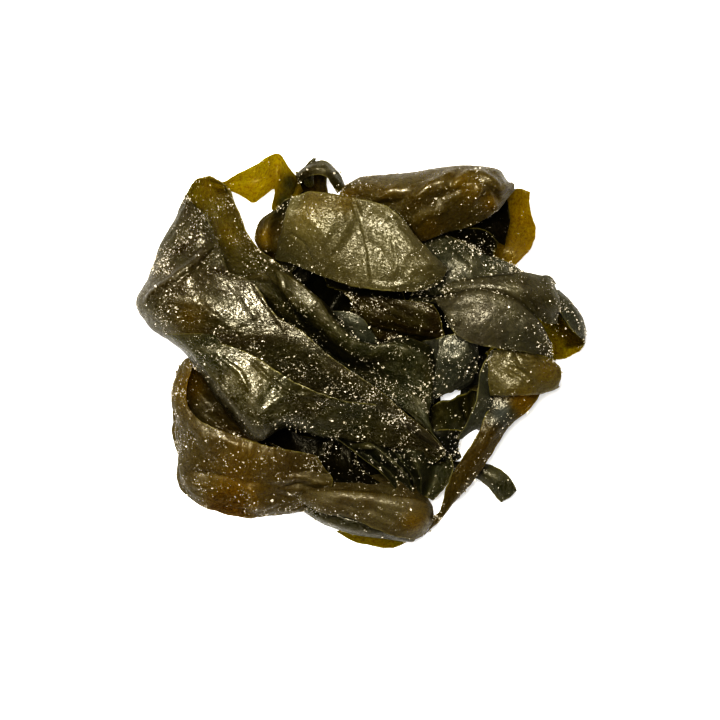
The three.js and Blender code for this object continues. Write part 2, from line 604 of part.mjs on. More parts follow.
// The closed solid of a sheet round a grid: two skins and the rim that joins them. Where the sheet
// meets the table it lies flat on it.
function solidSheet(grid) {
  const rows = grid.length;
  const columns = grid[0].length;
  grid.flat().forEach((middle) => {
    middle.z = Math.max(middle.z, BLADE_THICKNESS / 2);
  });
  const points = [];
  for (const side of [1, -1]) {
    grid.forEach((row, i) =>
      row.forEach((middle, j) => {
        const onMargin = i === 0 || j === 0 || i === rows - 1 || j === columns - 1;
        const half = (onMargin ? MARGIN_THICKNESS : BLADE_THICKNESS) / 2;
        const point = middle.clone().addScaledVector(normalAt(grid, i, j), side * half);
        if (point.z < CONTACT) point.z = 0;
        points.push(point);
      }),
    );
  }
  const skin = rows * columns;
  const top = (i, j) => i * columns + j;
  const under = (i, j) => skin + top(i, j);
  const faces = [];
  const quad = (a, b, c, d) => faces.push(a, b, c, a, c, d);
  for (let i = 0; i < rows - 1; i++) {
    for (let j = 0; j < columns - 1; j++) {
      quad(top(i, j), top(i + 1, j), top(i + 1, j + 1), top(i, j + 1));
      quad(under(i, j), under(i, j + 1), under(i + 1, j + 1), under(i + 1, j));
    }
    quad(top(i, 0), under(i, 0), under(i + 1, 0), top(i + 1, 0));
    quad(top(i, columns - 1), top(i + 1, columns - 1), under(i + 1, columns - 1), under(i, columns - 1));
  }
  for (let j = 0; j < columns - 1; j++) {
    quad(top(0, j), top(0, j + 1), under(0, j + 1), under(0, j));
    quad(top(rows - 1, j), under(rows - 1, j), under(rows - 1, j + 1), top(rows - 1, j + 1));
  }
  return new wasm.Manifold(
    new wasm.Mesh({
      numProp: 3,
      vertProperties: new Float32Array(points.flatMap((p) => p.toArray())),
      triVerts: new Uint32Array(faces),
    }),
  );
}

// The whole blade: every fold joined, without the air pockets that crossing folds shut off.
function joinedBlade() {
  const grids = [...Object.values(FOLDS).map(ribbedFold), ...INNER_FOLDS.map(innerFold)];
  const joined = grids.map(solidSheet).reduce((all, sheet) => all.add(sheet));
  const shells = joined.decompose().filter((shell) => shell.volume() > 0);
  return shells.sort((a, b) => b.volume() - a.volume())[0];
}

function geometryOf(solid) {
  const { vertProperties, triVerts } = solid.getMesh();
  const geometry = new THREE.BufferGeometry();
  geometry.setAttribute("position", new THREE.BufferAttribute(vertProperties, 3));
  geometry.setIndex(new THREE.BufferAttribute(triVerts, 1));
  geometry.computeVertexNormals();
  return geometry;
}

const blade = new THREE.Mesh(
  geometryOf(joinedBlade()),
  new THREE.MeshStandardMaterial(LEATHERY_OLIVE),
);
blade.name = "kelp";

const clump = new THREE.Group();
clump.add(blade);

export default clump;
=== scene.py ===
"""A dried kelp strip, crumpled into a loose clump and dusted with coarse salt.

One blade of kelp is laid in folds. Each fold is a sheet lofted through ribs that are drawn on squared paper,
seen from above, and it is given creases, wrinkles, a thickness and a thin margin. The salt is real grains.
"""
import math

import bpy
import numpy as np
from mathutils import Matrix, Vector


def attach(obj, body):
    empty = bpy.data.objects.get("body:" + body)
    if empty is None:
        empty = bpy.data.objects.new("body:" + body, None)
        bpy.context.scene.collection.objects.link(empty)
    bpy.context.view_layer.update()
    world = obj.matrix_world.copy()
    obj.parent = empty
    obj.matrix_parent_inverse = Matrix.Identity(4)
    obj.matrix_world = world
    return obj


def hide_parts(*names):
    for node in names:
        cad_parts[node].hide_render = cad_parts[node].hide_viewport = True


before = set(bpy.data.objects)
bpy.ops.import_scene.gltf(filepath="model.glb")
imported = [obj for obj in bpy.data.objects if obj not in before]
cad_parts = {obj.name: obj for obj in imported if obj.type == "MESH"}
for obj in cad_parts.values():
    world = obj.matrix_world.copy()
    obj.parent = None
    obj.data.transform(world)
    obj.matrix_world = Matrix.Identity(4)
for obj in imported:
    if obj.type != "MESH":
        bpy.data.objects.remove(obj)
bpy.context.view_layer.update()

# ---------------------------------------------------------------- sizes, in metres

MM = 0.001
CLUMP_WIDTH = 161 * MM
CLUMP_SQUARES = 447  # the same width on the squared paper
SQUARE = CLUMP_WIDTH / CLUMP_SQUARES
PAPER_SIDE = 720  # squares
PAPER_MIDDLE = (363, 351)  # the square over the origin; x runs right and y runs down the paper

GRID = 0.45 * MM  # step of the fine surface
INNER_GRID = 1.1 * MM  # step of the folds that don't show
BLADE_THICKNESS = 0.9 * MM
MARGIN_THICKNESS = 0.3 * MM
MARGIN_TAPER = 5 * MM  # how far in from the margin the blade reaches its thickness

RAGGED = 0.35 * MM  # how far a margin strays from its smooth line
RAGGED_LENGTH = 3.1 * MM  # length of the largest bites out of it
RAGGED_REACH = 2 * MM  # how far in from the margin they are felt

# Where a margin turns back under the fold:
BEND = 4  # squares that it bulges and drops by
SLOPE_AT = 0.2  # of the way back under: the blade has begun to come down
SLOPE_LEFT = 0.55  # of its drop, still to go at that place
LEVEL_AT = 0.7  # of the way back under: from here on the blade is level

# ---------------------------------------------------------------- the folds

# How a fold is where its own look says nothing else.
PLAIN = {
    "skin": "glossy",  # its material, one of SKINS
    "green": 0.4,  # olive, not brown
    "pale": 0,  # bleached, and in part a painted highlight
    "slate_and_sheen": 0,  # blue-grey: the blade's own tone, and in part a painted neutral sheen
    "clear": 0.1,  # light that comes through at its first rib
    "fade": 1,  # how much of that is left at its last rib
    "bloom_and_sheen": 0.5,  # powder that has dried out of the blade, salt dust, and a painted grey sheen
    "salt": 0.5,  # grains of salt
    "matt": 0.15,
    "grain": 1,  # depth of the fine leathery grain
    "waves": 1,  # height of its soft waves and long folds
    "crumple": 1,  # height of its crumples and crinkles
    "lean": 20,  # degrees that all of these lean away from its length
    "thick": 1,  # of the blade's thickness
}

# Each fold's ribs lie one after the other along it, and each rib's points run across it: right, down and up,
# in squares. Under says which side turns under, how far it runs back and the height it ends at. Creases are
# lines pressed into the fold: how high, how wide (both in millimetres), and where.
FOLDS = []


def fold(name, ribs, under=None, look=None, creases=()):
    """Adds one fold to the list."""
    look = PLAIN | (look or {})
    FOLDS.append({"name": name, "ribs": ribs, "under": under, "look": look, "creases": creases})


# The widest stretch, from its free upper margin over a crest to the outline on the left.
fold(
    "front_blade",
    look=dict(matt=0.16, grain=1.6, green=0.3, bloom_and_sheen=0.4, salt=1.1, waves=0.35, crumple=0.6, lean=35,
              clear=0.14),
    creases=[
        (1.1, 1.0, [(217, 242), (202, 260), (180, 276), (157, 293), (146, 306)]),
        (-0.9, 0.9, [(214, 250), (200, 268), (178, 284)]),
        (0.45, 1.2, [(226, 280), (246, 300), (262, 326)]),
        (0.5, 0.6, [(254, 282), (264, 299), (277, 317), (289, 334)]),
        (0.6, 0.8, [(196, 300), (216, 316), (246, 334)]),
    ],
    ribs=[
        [(190, 201, 60), (190, 200, 60), (189, 199, 58), (189, 198, 56), (188, 197, 52), (189, 198, 46)],
        [(203, 216, 67), (198, 216, 68), (191, 216, 66), (184, 215, 60), (180, 215, 50), (186, 216, 38)],
        [(219, 243, 74), (207, 246, 78), (191, 248, 74), (174, 246, 66), (164, 245, 52), (174, 248, 36)],
        [(231, 274, 80), (213, 272, 82), (190, 276, 90), (161, 279, 74), (149, 283, 50), (160, 288, 30)],
        [(254, 283, 88), (230, 292, 84), (196, 302, 90), (158, 306, 76), (139, 302, 46), (154, 308, 26)],
        [(276, 314, 92), (252, 318, 89), (214, 324, 86), (176, 328, 72), (150, 323, 46), (164, 330, 26)],
        [(290, 324, 93), (268, 331, 90), (244, 340, 83), (214, 345, 76), (186, 345, 56), (192, 349, 38)],
        [(303, 331, 93), (285, 339, 90), (265, 348, 80), (245, 354, 72), (226, 358, 60), (220, 362, 48)],
        [(324, 350, 92), (308, 356, 88), (290, 363, 76), (272, 368, 68), (254, 374, 58), (246, 378, 50)],
        [(346, 367, 90), (332, 373, 85), (316, 379, 72), (300, 384, 64), (284, 390, 56), (276, 394, 50)],
        [(378, 388, 86), (364, 392, 80), (348, 395, 68), (334, 398, 61), (320, 404, 54), (312, 408, 50)],
        [(402, 409, 81), (390, 411, 75), (378, 411, 64), (366, 414, 57), (354, 420, 52), (346, 424, 48)],
        [(425, 428, 72), (416, 428, 67), (406, 427, 58), (396, 429, 53), (386, 434, 48), (378, 438, 44)],
        [(446, 449, 60), (440, 448, 57), (433, 446, 51), (426, 448, 47), (418, 452, 43), (412, 456, 40)],
    ],
)

# The lobe in front of it: its free upper margin stands over a groove.
fold(
    "front_lobe",
    look=dict(matt=0.05, grain=1.4, green=0.6, bloom_and_sheen=0.6, salt=0.9, waves=0.35, crumple=0.6, lean=35),
    creases=[
        (0.8, 0.8, [(218, 352), (240, 372), (252, 392)]),
        (-0.7, 0.7, [(250, 358), (276, 384), (300, 398)]),
        (0.6, 1.1, [(262, 412), (284, 396), (312, 394), (340, 404)]),
        (0.7, 0.7, [(196, 350), (212, 372), (232, 396)]),
    ],
    ribs=[
        [(214, 333, 80), (202, 334, 80), (186, 334, 74), (170, 333, 62), (158, 329, 46), (168, 334, 30)],
        [(222, 343, 88), (212, 348, 88), (202, 352, 84), (192, 353, 70), (186, 352, 50), (190, 353, 34)],
        [(241, 349, 91), (233, 357, 90), (223, 366, 87), (212, 373, 78), (205, 376, 58), (206, 378, 46)],
        [(262, 360, 91), (255, 371, 90), (245, 385, 90), (233, 399, 84), (226, 405, 60), (224, 404, 50)],
        [(288, 377, 90), (281, 387, 88), (271, 402, 89), (264, 422, 84), (258, 439, 64), (256, 438, 55)],
        [(314, 389, 88), (308, 397, 82), (300, 407, 81), (290, 418, 75), (284, 427, 60), (281, 426, 53)],
        [(348, 400, 84), (343, 407, 77), (336, 416, 71), (329, 426, 63), (325, 435, 56), (322, 434, 50)],
        [(377, 404, 78), (375, 411, 71), (371, 421, 64), (367, 431, 58), (365, 441, 50), (362, 440, 46)],
        [(404, 413, 71), (402, 419, 66), (398, 428, 59), (394, 437, 54), (391, 446, 47), (388, 445, 43)],
        [(428, 428, 63), (428, 432, 59), (426, 438, 55), (421, 445, 50), (416, 452, 45), (413, 451, 42)],
        [(446, 449, 56), (446, 451, 54), (444, 454, 51), (440, 458, 47), (436, 461, 43), (433, 461, 41)],
    ],
)

# The same stretch underneath, back inwards and down to the table.
fold(
    "front_return",
    ribs=[
        [(189, 198, 46), (196, 206, 36), (212, 222, 28)],
        [(186, 216, 38), (202, 224, 26), (228, 242, 20)],
        [(174, 248, 36), (200, 257, 20), (236, 272, 14)],
        [(160, 288, 30), (190, 296, 12), (238, 302, 8)],
        [(154, 308, 26), (190, 316, 6), (242, 322, 1)],
        [(166, 331, 28), (200, 338, 6), (252, 346, 1)],
        [(191, 353, 34), (216, 362, 10), (258, 376, 1)],
        [(206, 378, 46), (228, 388, 28), (264, 402, 12)],
    ],
)

# Behind it the blade lies as a trough, then as a ridge, and ends in the middle.
fold(
    "inner_blade", under=("end", 60, 24),
    look=dict(matt=0.3, clear=0.38, fade=0.0, green=0.85, bloom_and_sheen=0.25, salt=1.0, waves=0.6, crumple=0.6,
              lean=10),
    creases=[
        (0.9, 0.8, [(271, 260), (278, 273), (284, 288), (291, 302), (301, 317), (322, 338)]),
        (0.5, 1.6, [(318, 298), (330, 322), (349, 346)]),
        (-0.7, 0.8, [(236, 246), (256, 262), (272, 284)]),
    ],
    ribs=[
        [(194, 186, 60), (200, 181, 56), (211, 179, 52), (222, 184, 52), (231, 192, 56)],
        [(190, 194, 52), (198, 190, 46), (210, 189, 42), (222, 193, 45), (233, 200, 54)],
        [(182, 214, 40), (196, 211, 34), (211, 210, 33), (226, 210, 40), (237, 211, 52)],
        [(172, 246, 38), (196, 245, 34), (217, 245, 36), (236, 244, 44), (252, 243, 56)],
        [(196, 282, 48), (218, 276, 48), (240, 270, 52), (260, 264, 62), (277, 263, 70)],
        [(250, 292, 60), (264, 286, 66), (277, 280, 80), (288, 276, 88), (297, 277, 76)],
        [(278, 318, 44), (289, 312, 62), (300, 305, 91), (314, 296, 94), (321, 298, 76)],
        [(306, 342, 34), (314, 336, 48), (322, 329, 85), (335, 320, 89), (341, 320, 72)],
        [(338, 366, 32), (345, 361, 44), (352, 354, 78), (361, 342, 83), (366, 341, 64)],
        [(370, 390, 34), (380, 377, 52), (389, 361, 70), (396, 345, 79), (401, 336, 60)],
        [(408, 414, 50), (412, 396, 58), (417, 376, 65), (422, 356, 71), (427, 344, 57)],
        [(434, 436, 50), (429, 414, 55), (431, 392, 58), (433, 368, 59), (434, 350, 48)],
    ],
)

# An open loop in front on the left: its wall leans out from a rolled rim to the table.
fold(
    "loop_wall", under=("last", 40, 1),
    look=dict(matt=0.5, grain=0.9, clear=0.29, green=0.0, bloom_and_sheen=0.1, salt=1.0, waves=1.1, lean=0),
    creases=[
        (0.9, 1.0, [(268, 479), (282, 475), (296, 473), (322, 478), (338, 485)]),
        (-1.0, 1.0, [(280, 484), (300, 481), (318, 484)]),
        (0.5, 1.5, [(198, 424), (206, 434), (229, 440), (256, 449)]),
        (-1.3, 1.4, [(188, 470), (205, 472), (222, 474), (249, 480), (267, 481)]),
        (1.0, 1.3, [(192, 482), (214, 484), (240, 490)]),
        (0.9, 1.0, [(247, 481), (256, 497), (252, 511)]),
        (0.7, 1.0, [(180, 424), (186, 440), (186, 470)]),
    ],
    ribs=[
        [(196, 358, 42), (192, 359, 42), (187, 362, 36), (183, 366, 26), (181, 371, 14)],
        [(189, 388, 47), (185, 388, 46), (180, 388, 36), (177, 389, 20), (179, 390, 8)],
        [(190, 407, 51), (186, 410, 50), (182, 414, 38), (179, 418, 20), (180, 420, 6)],
        [(204, 421, 56), (200, 431, 54), (193, 443, 42), (183, 454, 22), (182, 459, 6)],
        [(226, 430, 58), (221, 446, 54), (208, 467, 40), (191, 484, 22), (185, 487, 5)],
        [(248, 438, 58), (244, 456, 54), (234, 479, 38), (219, 498, 20), (210, 504, 4)],
        [(272, 445, 54), (270, 462, 50), (264, 481, 36), (254, 500, 20), (248, 512, 4)],
        [(298, 450, 48), (299, 464, 44), (297, 480, 34), (288, 497, 20), (282, 511, 6)],
        [(315, 456, 40), (324, 467, 38), (333, 478, 32), (324, 491, 24), (306, 507, 12)],
    ],
)

# The floor of that loop.
fold(
    "loop_floor",
    look=dict(skin="thin", green=0.0, clear=0.16, bloom_and_sheen=0.1, salt=0.3, waves=0.5),
    ribs=[
        [(188, 370, 24), (198, 366, 22), (212, 370, 30)],
        [(182, 388, 18), (202, 390, 14), (228, 396, 24)],
        [(184, 408, 16), (212, 411, 12), (236, 418, 22)],
        [(196, 428, 12), (225, 430, 10), (252, 434, 18)],
        [(215, 448, 8), (245, 450, 10), (290, 452, 16)],
    ],
)

# The tongue along the front.
fold(
    "bottom_band", under=("first", 34, 12),
    look=dict(matt=0.6, grain=0.7, clear=0.22, green=0.0, pale=0.1, bloom_and_sheen=0.25, salt=0.4, waves=0.3,
              crumple=0.35),
    creases=[
        (0.6, 1.4, [(330, 494), (372, 498), (410, 508)]),
        (-0.6, 1.6, [(330, 503), (372, 510), (402, 522)]),
    ],
    ribs=[
        [(299, 489, 24), (300, 495, 26), (301, 501, 22)],
        [(324, 491, 42), (324, 501, 44), (322, 512, 36)],
        [(354, 492, 47), (351, 505, 47), (348, 516, 39)],
        [(386, 495, 47), (382, 513, 47), (376, 528, 39)],
        [(411, 498, 45), (407, 518, 46), (399, 536, 35)],
        [(424, 503, 39), (425, 516, 39), (413, 538, 24)],
        [(431, 507, 28), (432, 520, 24), (421, 535, 12)],
    ],
)

# The narrow ribbon that runs up from the tongue's corner and widens on the right.
fold(
    "side_ribbon",
    look=dict(skin="thin", matt=0.25, grain=0.9, clear=0.27, green=0.0, bloom_and_sheen=0.4, salt=0.6, waves=0.5,
              crumple=0.7),
    ribs=[
        [(427, 516, 20), (430, 526, 16), (424, 534, 10)],
        [(438, 511, 30), (441, 514, 28), (444, 511, 22)],
        [(446, 485, 41), (454, 490, 38), (461, 492, 30)],
        [(461, 458, 47), (470, 465, 44), (480, 468, 35)],
        [(477, 433, 50), (487, 440, 48), (498, 441, 38)],
        [(484, 416, 50), (497, 423, 50), (509, 424, 40)],
        [(489, 404, 46), (508, 409, 47), (526, 410, 37)],
        [(492, 392, 44), (515, 395, 46), (537, 396, 37)],
        [(494, 378, 40), (518, 380, 44), (542, 384, 36)],
    ],
)

# A fold in the tongue's shade.
fold(
    "band_shadow", under=("first", 46, 24),
    look=dict(green=0.6, bloom_and_sheen=0.4, waves=0.4, crumple=0.5),
    ribs=[
        [(310, 501, 20), (307, 507, 16), (304, 509, 10)],
        [(344, 516, 24), (338, 524, 20), (332, 526, 10)],
        [(372, 524, 24), (367, 531, 19), (360, 535, 12)],
        [(396, 532, 22), (393, 535, 17), (390, 538, 12)],
        [(418, 534, 16), (414, 539, 12), (409, 540, 8)],
    ],
)

# Its thin margin on the table.
fold(
    "band_lens", under=("first", 34, 26),
    look=dict(skin="thin", matt=0.3, clear=0.8, green=1.0, bloom_and_sheen=0.1, salt=0.3, waves=0.2, crumple=0.3,
              thick=0.7),
    ribs=[
        [(345, 520, 12), (341, 528, 9), (337, 531, 4)],
        [(362, 526, 12), (358, 536, 8), (355, 541, 3)],
        [(380, 530, 12), (377, 540, 7), (376, 546, 3)],
        [(396, 532, 12), (395, 541, 7), (394, 547, 3)],
        [(408, 534, 10), (407, 539, 7), (405, 542, 3)],
    ],
)

# The blade's narrow end, curled out past the ribbon.
fold(
    "end_curl",
    look=dict(matt=0.4, green=0.9, bloom_and_sheen=0.1, salt=0.25, waves=0.4, crumple=0.6),
    ribs=[
        [(412, 460, 8), (413, 468, 10), (414, 476, 8)],
        [(440, 462, 11), (440, 470, 14), (440, 478, 10)],
        [(468, 462, 14), (467, 470, 17), (466, 478, 13)],
        [(480, 464, 16), (478, 470, 20), (476, 477, 15)],
        [(492, 466, 18), (488, 474, 21), (484, 482, 14)],
        [(503, 472, 17), (497, 480, 20), (491, 488, 12)],
        [(511, 480, 14), (504, 488, 15), (496, 495, 8)],
        [(516, 490, 10), (509, 496, 10), (501, 501, 5)],
    ],
)

# The bent ribbon at the back on the left.
fold(
    "top_ribbon", under=("end", 44, 20),
    look=dict(skin="thin", matt=0.0, grain=0.8, clear=0.74, green=0.8, bloom_and_sheen=0.0, salt=0.1, waves=0.3,
              crumple=0.35, thick=0.7),
    ribs=[
        [(209, 180, 50), (213, 186, 52), (218, 194, 50)],
        [(222, 184, 48), (226, 188, 50), (231, 192, 47)],
        [(238, 175, 40), (240, 185, 43), (243, 197, 39)],
        [(256, 166, 36), (255, 184, 40), (254, 203, 34)],
        [(270, 158, 38), (267, 178, 43), (263, 198, 37)],
        [(279, 155, 44), (278, 172, 48), (275, 190, 44)],
        [(287, 166, 40), (281, 187, 42), (272, 210, 38)],
        [(298, 178, 34), (291, 196, 36), (280, 216, 32)],
    ],
)

# A small tube at the back.
fold(
    "back_arch",
    look=dict(matt=0.3, waves=0.3, crumple=0.4),
    ribs=[
        [(295, 179, 30), (298, 181, 34), (301, 184, 32)],
        [(303, 171, 44), (304, 174, 50), (306, 179, 48)],
        [(315, 164, 52), (316, 170, 60), (317, 176, 58)],
        [(326, 163, 52), (326, 171, 60), (326, 178, 58)],
        [(338, 174, 44), (334, 178, 52), (331, 184, 50)],
        [(344, 187, 32), (341, 190, 38), (337, 193, 36)],
    ],
)

# The floor of that tube.
fold(
    "back_arch_floor", under=("end", 30, 18),
    look=dict(skin="inside", green=0.0, bloom_and_sheen=0.1, salt=0.1, waves=0.3, crumple=0.4),
    ribs=[
        [(296, 173, 30), (310, 171, 28), (326, 172, 30)],
        [(297, 185, 26), (311, 185, 24), (327, 186, 28)],
        [(298, 198, 30), (312, 200, 28), (328, 202, 32)],
    ],
)

# The smooth flap on top.
fold(
    "top_flap", under=("start", 60, 14),
    look=dict(matt=0.4, grain=1.6, green=0.6, pale=0.28, bloom_and_sheen=0.7, salt=0.45, waves=0.35, crumple=0.8,
              lean=60),
    creases=[
        (-0.35, 0.5, [(352, 200), (358, 223), (364, 243), (369, 284)]),
        (0.3, 0.5, [(356, 204), (361, 223), (366, 243), (373, 284)]),
        (0.35, 1.2, [(304, 216), (322, 230), (332, 256)]),
        (-0.5, 0.5, [(288, 232), (304, 244), (312, 262)]),
        (0.3, 0.6, [(392, 240), (396, 262), (392, 284)]),
        (0.4, 1.0, [(366, 284), (380, 287), (400, 286), (416, 282)]),
        (-0.25, 0.5, [(362, 240), (378, 246), (388, 262)]),
    ],
    ribs=[
        [(276, 261, 54), (280, 246, 74), (284, 231, 88), (287, 214, 95), (291, 198, 91)],
        [(294, 266, 66), (298, 249, 82), (302, 230, 94), (306, 211, 98), (310, 193, 94)],
        [(318, 276, 80), (322, 258, 93), (327, 236, 101), (332, 214, 102), (336, 196, 98)],
        [(346, 286, 88), (351, 265, 94), (356, 242, 97), (361, 218, 100), (365, 201, 97)],
        [(376, 291, 97), (381, 268, 101), (386, 246, 103), (390, 226, 104), (392, 211, 100)],
        [(402, 293, 98), (407, 277, 102), (411, 262, 104), (415, 249, 104), (418, 240, 100)],
        [(424, 291, 94), (428, 283, 97), (432, 275, 98), (436, 267, 98), (439, 261, 94)],
        [(441, 283, 88), (443, 279, 90), (445, 275, 90), (446, 271, 90), (447, 268, 87)],
    ],
)

# The flap's own stretch on the left, bent down beside it.
fold(
    "flap_strip", under=("first", 44, 24),
    look=dict(matt=0.35, clear=0.3, bloom_and_sheen=0.3, salt=1.0, waves=0.4, crumple=0.6, lean=0),
    ribs=[
        [(276, 212, 72), (280, 208, 77), (286, 203, 80), (294, 199, 78)],
        [(261, 224, 58), (270, 221, 69), (280, 219, 64), (298, 216, 54)],
        [(256, 240, 56), (265, 238, 67), (276, 236, 58), (302, 236, 46)],
        [(260, 250, 54), (267, 247, 63), (278, 248, 58), (306, 250, 44)],
        [(264, 256, 48), (270, 254, 56), (280, 256, 52), (306, 262, 42)],
    ],
)

# The large roll at the back, open towards the middle.
fold(
    "upper_roll", under=("last", 50, 1),
    look=dict(clear=0.3, green=0.3, salt=0.6, grain=0.9, waves=0.25, crumple=0.5, lean=25),
    creases=[
        (1.2, 1.5, [(404, 204), (420, 195), (431, 187), (443, 180), (456, 174)]),
        (-1.6, 2.2, [(430, 206), (446, 196), (462, 188)]),
        (1.2, 1.2, [(449, 194), (456, 184), (467, 176), (481, 176), (492, 185)]),
        (1.0, 1.4, [(468, 206), (474, 196), (481, 187)]),
        (1.4, 1.2, [(484, 176), (497, 190), (509, 188), (514, 191)]),
        (1.2, 1.1, [(487, 192), (491, 202), (495, 210)]),
        (-1.3, 2.0, [(484, 204), (488, 196), (500, 200)]),
        (1.1, 1.6, [(352, 208), (376, 200), (396, 190)]),
        (-1.0, 2.0, [(370, 212), (396, 206), (414, 196)]),
        (1.0, 1.4, [(412, 226), (424, 216), (446, 210)]),
    ],
    ribs=[
        [(336, 202, 56), (339, 197, 64), (341, 192, 64), (343, 187, 52), (348, 190, 38)],
        [(368, 216, 66), (366, 202, 80), (363, 189, 86), (361, 179, 70), (366, 186, 38)],
        [(396, 236, 70), (392, 212, 88), (388, 192, 98), (385, 177, 80), (390, 187, 38)],
        [(420, 243, 72), (419, 216, 94), (416, 192, 105), (413, 174, 84), (416, 186, 36)],
        [(443, 235, 74), (446, 210, 94), (447, 187, 106), (446, 169, 84), (446, 184, 34)],
        [(472, 227, 74), (474, 205, 92), (475, 185, 103), (475, 168, 82), (473, 184, 32)],
        [(497, 212, 72), (497, 197, 86), (497, 183, 92), (497, 171, 74), (493, 184, 32)],
        [(513, 192, 62), (512, 189, 66), (510, 186, 64), (507, 182, 54), (503, 187, 34)],
    ],
)

# The roll's inside at its right end.
fold(
    "roll_inner", under=("first", 40, 12),
    look=dict(skin="inside", green=0.2, bloom_and_sheen=0.2, salt=0.2),
    ribs=[
        [(462, 204, 44), (466, 214, 36), (470, 234, 36)],
        [(486, 200, 42), (488, 218, 30), (490, 240, 30)],
        [(506, 198, 38), (509, 220, 26), (503, 245, 24)],
    ],
)

# A single thickness that hangs out of the roll on the right.
fold(
    "roll_apron", under=("first", 40, 6),
    look=dict(skin="thin", matt=0.0, grain=0.6, clear=0.55, green=0.45, bloom_and_sheen=0.0, salt=0.1, waves=0.4,
              crumple=0.3, thick=0.7),
    ribs=[
        [(502, 197, 44), (516, 191, 50), (530, 193, 40)],
        [(496, 212, 28), (515, 208, 28), (529, 212, 32)],
        [(490, 228, 18), (513, 226, 18), (535, 231, 22)],
        [(485, 246, 14), (506, 246, 12), (530, 248, 16)],
        [(478, 264, 12), (496, 264, 10), (513, 268, 12)],
    ],
)

# The pocket in front of the roll.
fold(
    "pocket", under=("last", 40, 26),
    look=dict(skin="inside", bloom_and_sheen=0.1, salt=0.3),
    ribs=[
        [(446, 232, 50), (448, 246, 44), (448, 262, 52)],
        [(468, 227, 58), (466, 243, 44), (464, 260, 56)],
        [(487, 230, 60), (484, 246, 44), (481, 262, 56)],
        [(498, 242, 56), (495, 251, 48), (490, 264, 50)],
    ],
)

# The band between the pocket and the right-hand folds.
fold(
    "salted_band", under=("last", 40, 30),
    look=dict(matt=0.5, green=0.8, slate_and_sheen=0.12, bloom_and_sheen=0.2, salt=2.2),
    ribs=[
        [(422, 244, 56), (420, 268, 70), (410, 296, 60)],
        [(446, 237, 54), (444, 264, 72), (438, 292, 64)],
        [(468, 247, 56), (472, 268, 70), (474, 292, 64)],
        [(499, 262, 50), (504, 276, 58), (506, 292, 54)],
        [(523, 278, 34), (527, 286, 42), (530, 298, 40)],
    ],
)

# The broad lobe right of the middle.
fold(
    "middle_lobe", under=("first", 30, 30),
    look=dict(matt=0.7, green=0.3, slate_and_sheen=0.08, bloom_and_sheen=0.4, salt=0.8, waves=0.3, lean=-32),
    ribs=[
        [(434, 300, 72), (437, 303, 77), (440, 306, 78), (443, 309, 76)],
        [(450, 300, 80), (449, 308, 86), (448, 316, 88), (448, 323, 84)],
        [(468, 293, 82), (465, 308, 88), (461, 322, 89), (456, 335, 85)],
        [(490, 294, 83), (486, 312, 88), (480, 330, 88), (474, 344, 83)],
        [(512, 302, 82), (508, 318, 84), (503, 334, 83), (497, 348, 78)],
        [(531, 320, 76), (529, 331, 76), (526, 342, 74), (522, 351, 70)],
        [(548, 344, 58), (549, 348, 57), (550, 353, 54), (551, 358, 50)],
    ],
)

# The band over that lobe.
fold(
    "right_band", under=("first", 64, 16),
    look=dict(matt=0.5, green=0.55, bloom_and_sheen=0.6, salt=0.8, waves=0.6, crumple=0.6),
    ribs=[
        [(436, 288, 66), (442, 293, 70), (448, 299, 64)],
        [(474, 282, 76), (480, 288, 82), (488, 297, 74)],
        [(505, 279, 78), (511, 290, 84), (518, 305, 74)],
        [(535, 279, 70), (538, 296, 76), (538, 319, 62)],
        [(545, 279, 66), (549, 298, 71), (548, 323, 56)],
        [(552, 286, 58), (557, 303, 62), (555, 323, 48)],
    ],
)

# The curled margin at the far right.
fold(
    "right_curl", under=("last", 16, 8),
    look=dict(slate_and_sheen=0.5, matt=0.3, green=0.5, bloom_and_sheen=0.6, salt=0.7, waves=0.5, crumple=0.6),
    ribs=[
        [(546, 300, 58), (553, 291, 58), (559, 290, 46), (555, 300, 32)],
        [(558, 312, 56), (567, 300, 54), (573, 302, 40), (567, 313, 26)],
        [(567, 325, 46), (576, 316, 46), (582, 317, 32), (575, 326, 20)],
        [(576, 335, 36), (582, 330, 36), (586, 332, 24), (580, 339, 14)],
        [(583, 341, 24), (584, 341, 24), (585, 344, 18), (580, 347, 12)],
    ],
)

# A single thickness inside that curl.
fold(
    "right_inner", under=("first", 64, 1),
    look=dict(skin="thin", matt=0.0, grain=0.6, clear=0.8, green=1.2, bloom_and_sheen=0.0, salt=0.2, waves=0.4,
              crumple=0.4, thick=0.5),
    ribs=[
        [(528, 312, 40), (543, 310, 40), (556, 312, 44)],
        [(534, 330, 26), (550, 330, 24), (568, 328, 30)],
        [(541, 348, 18), (560, 346, 15), (584, 343, 20)],
        [(552, 361, 12), (566, 358, 10), (579, 352, 12)],
    ],
)

# The lobe in front of the broad one.
fold(
    "lower_lobe", under=("last", 56, 1),
    look=dict(matt=0.4, grain=1.6, clear=0.25, green=0.5, pale=0.26, waves=0.5, crumple=1.2, lean=50),
    creases=[
        (0.9, 0.6, [(510, 368), (522, 374), (532, 382)]),
        (0.9, 0.6, [(506, 372), (518, 378), (528, 386)]),
        (0.6, 0.6, [(518, 356), (526, 362), (536, 360)]),
    ],
    ribs=[
        [(487, 352, 54), (488, 366, 60), (488, 380, 62), (489, 394, 58)],
        [(504, 350, 60), (505, 364, 63), (506, 379, 67), (507, 393, 65)],
        [(524, 352, 60), (525, 365, 62), (526, 379, 65), (527, 391, 62)],
        [(545, 358, 52), (547, 368, 54), (547, 379, 53), (545, 389, 49)],
        [(557, 366, 44), (559, 371, 45), (559, 377, 45), (556, 384, 42)],
    ],
)

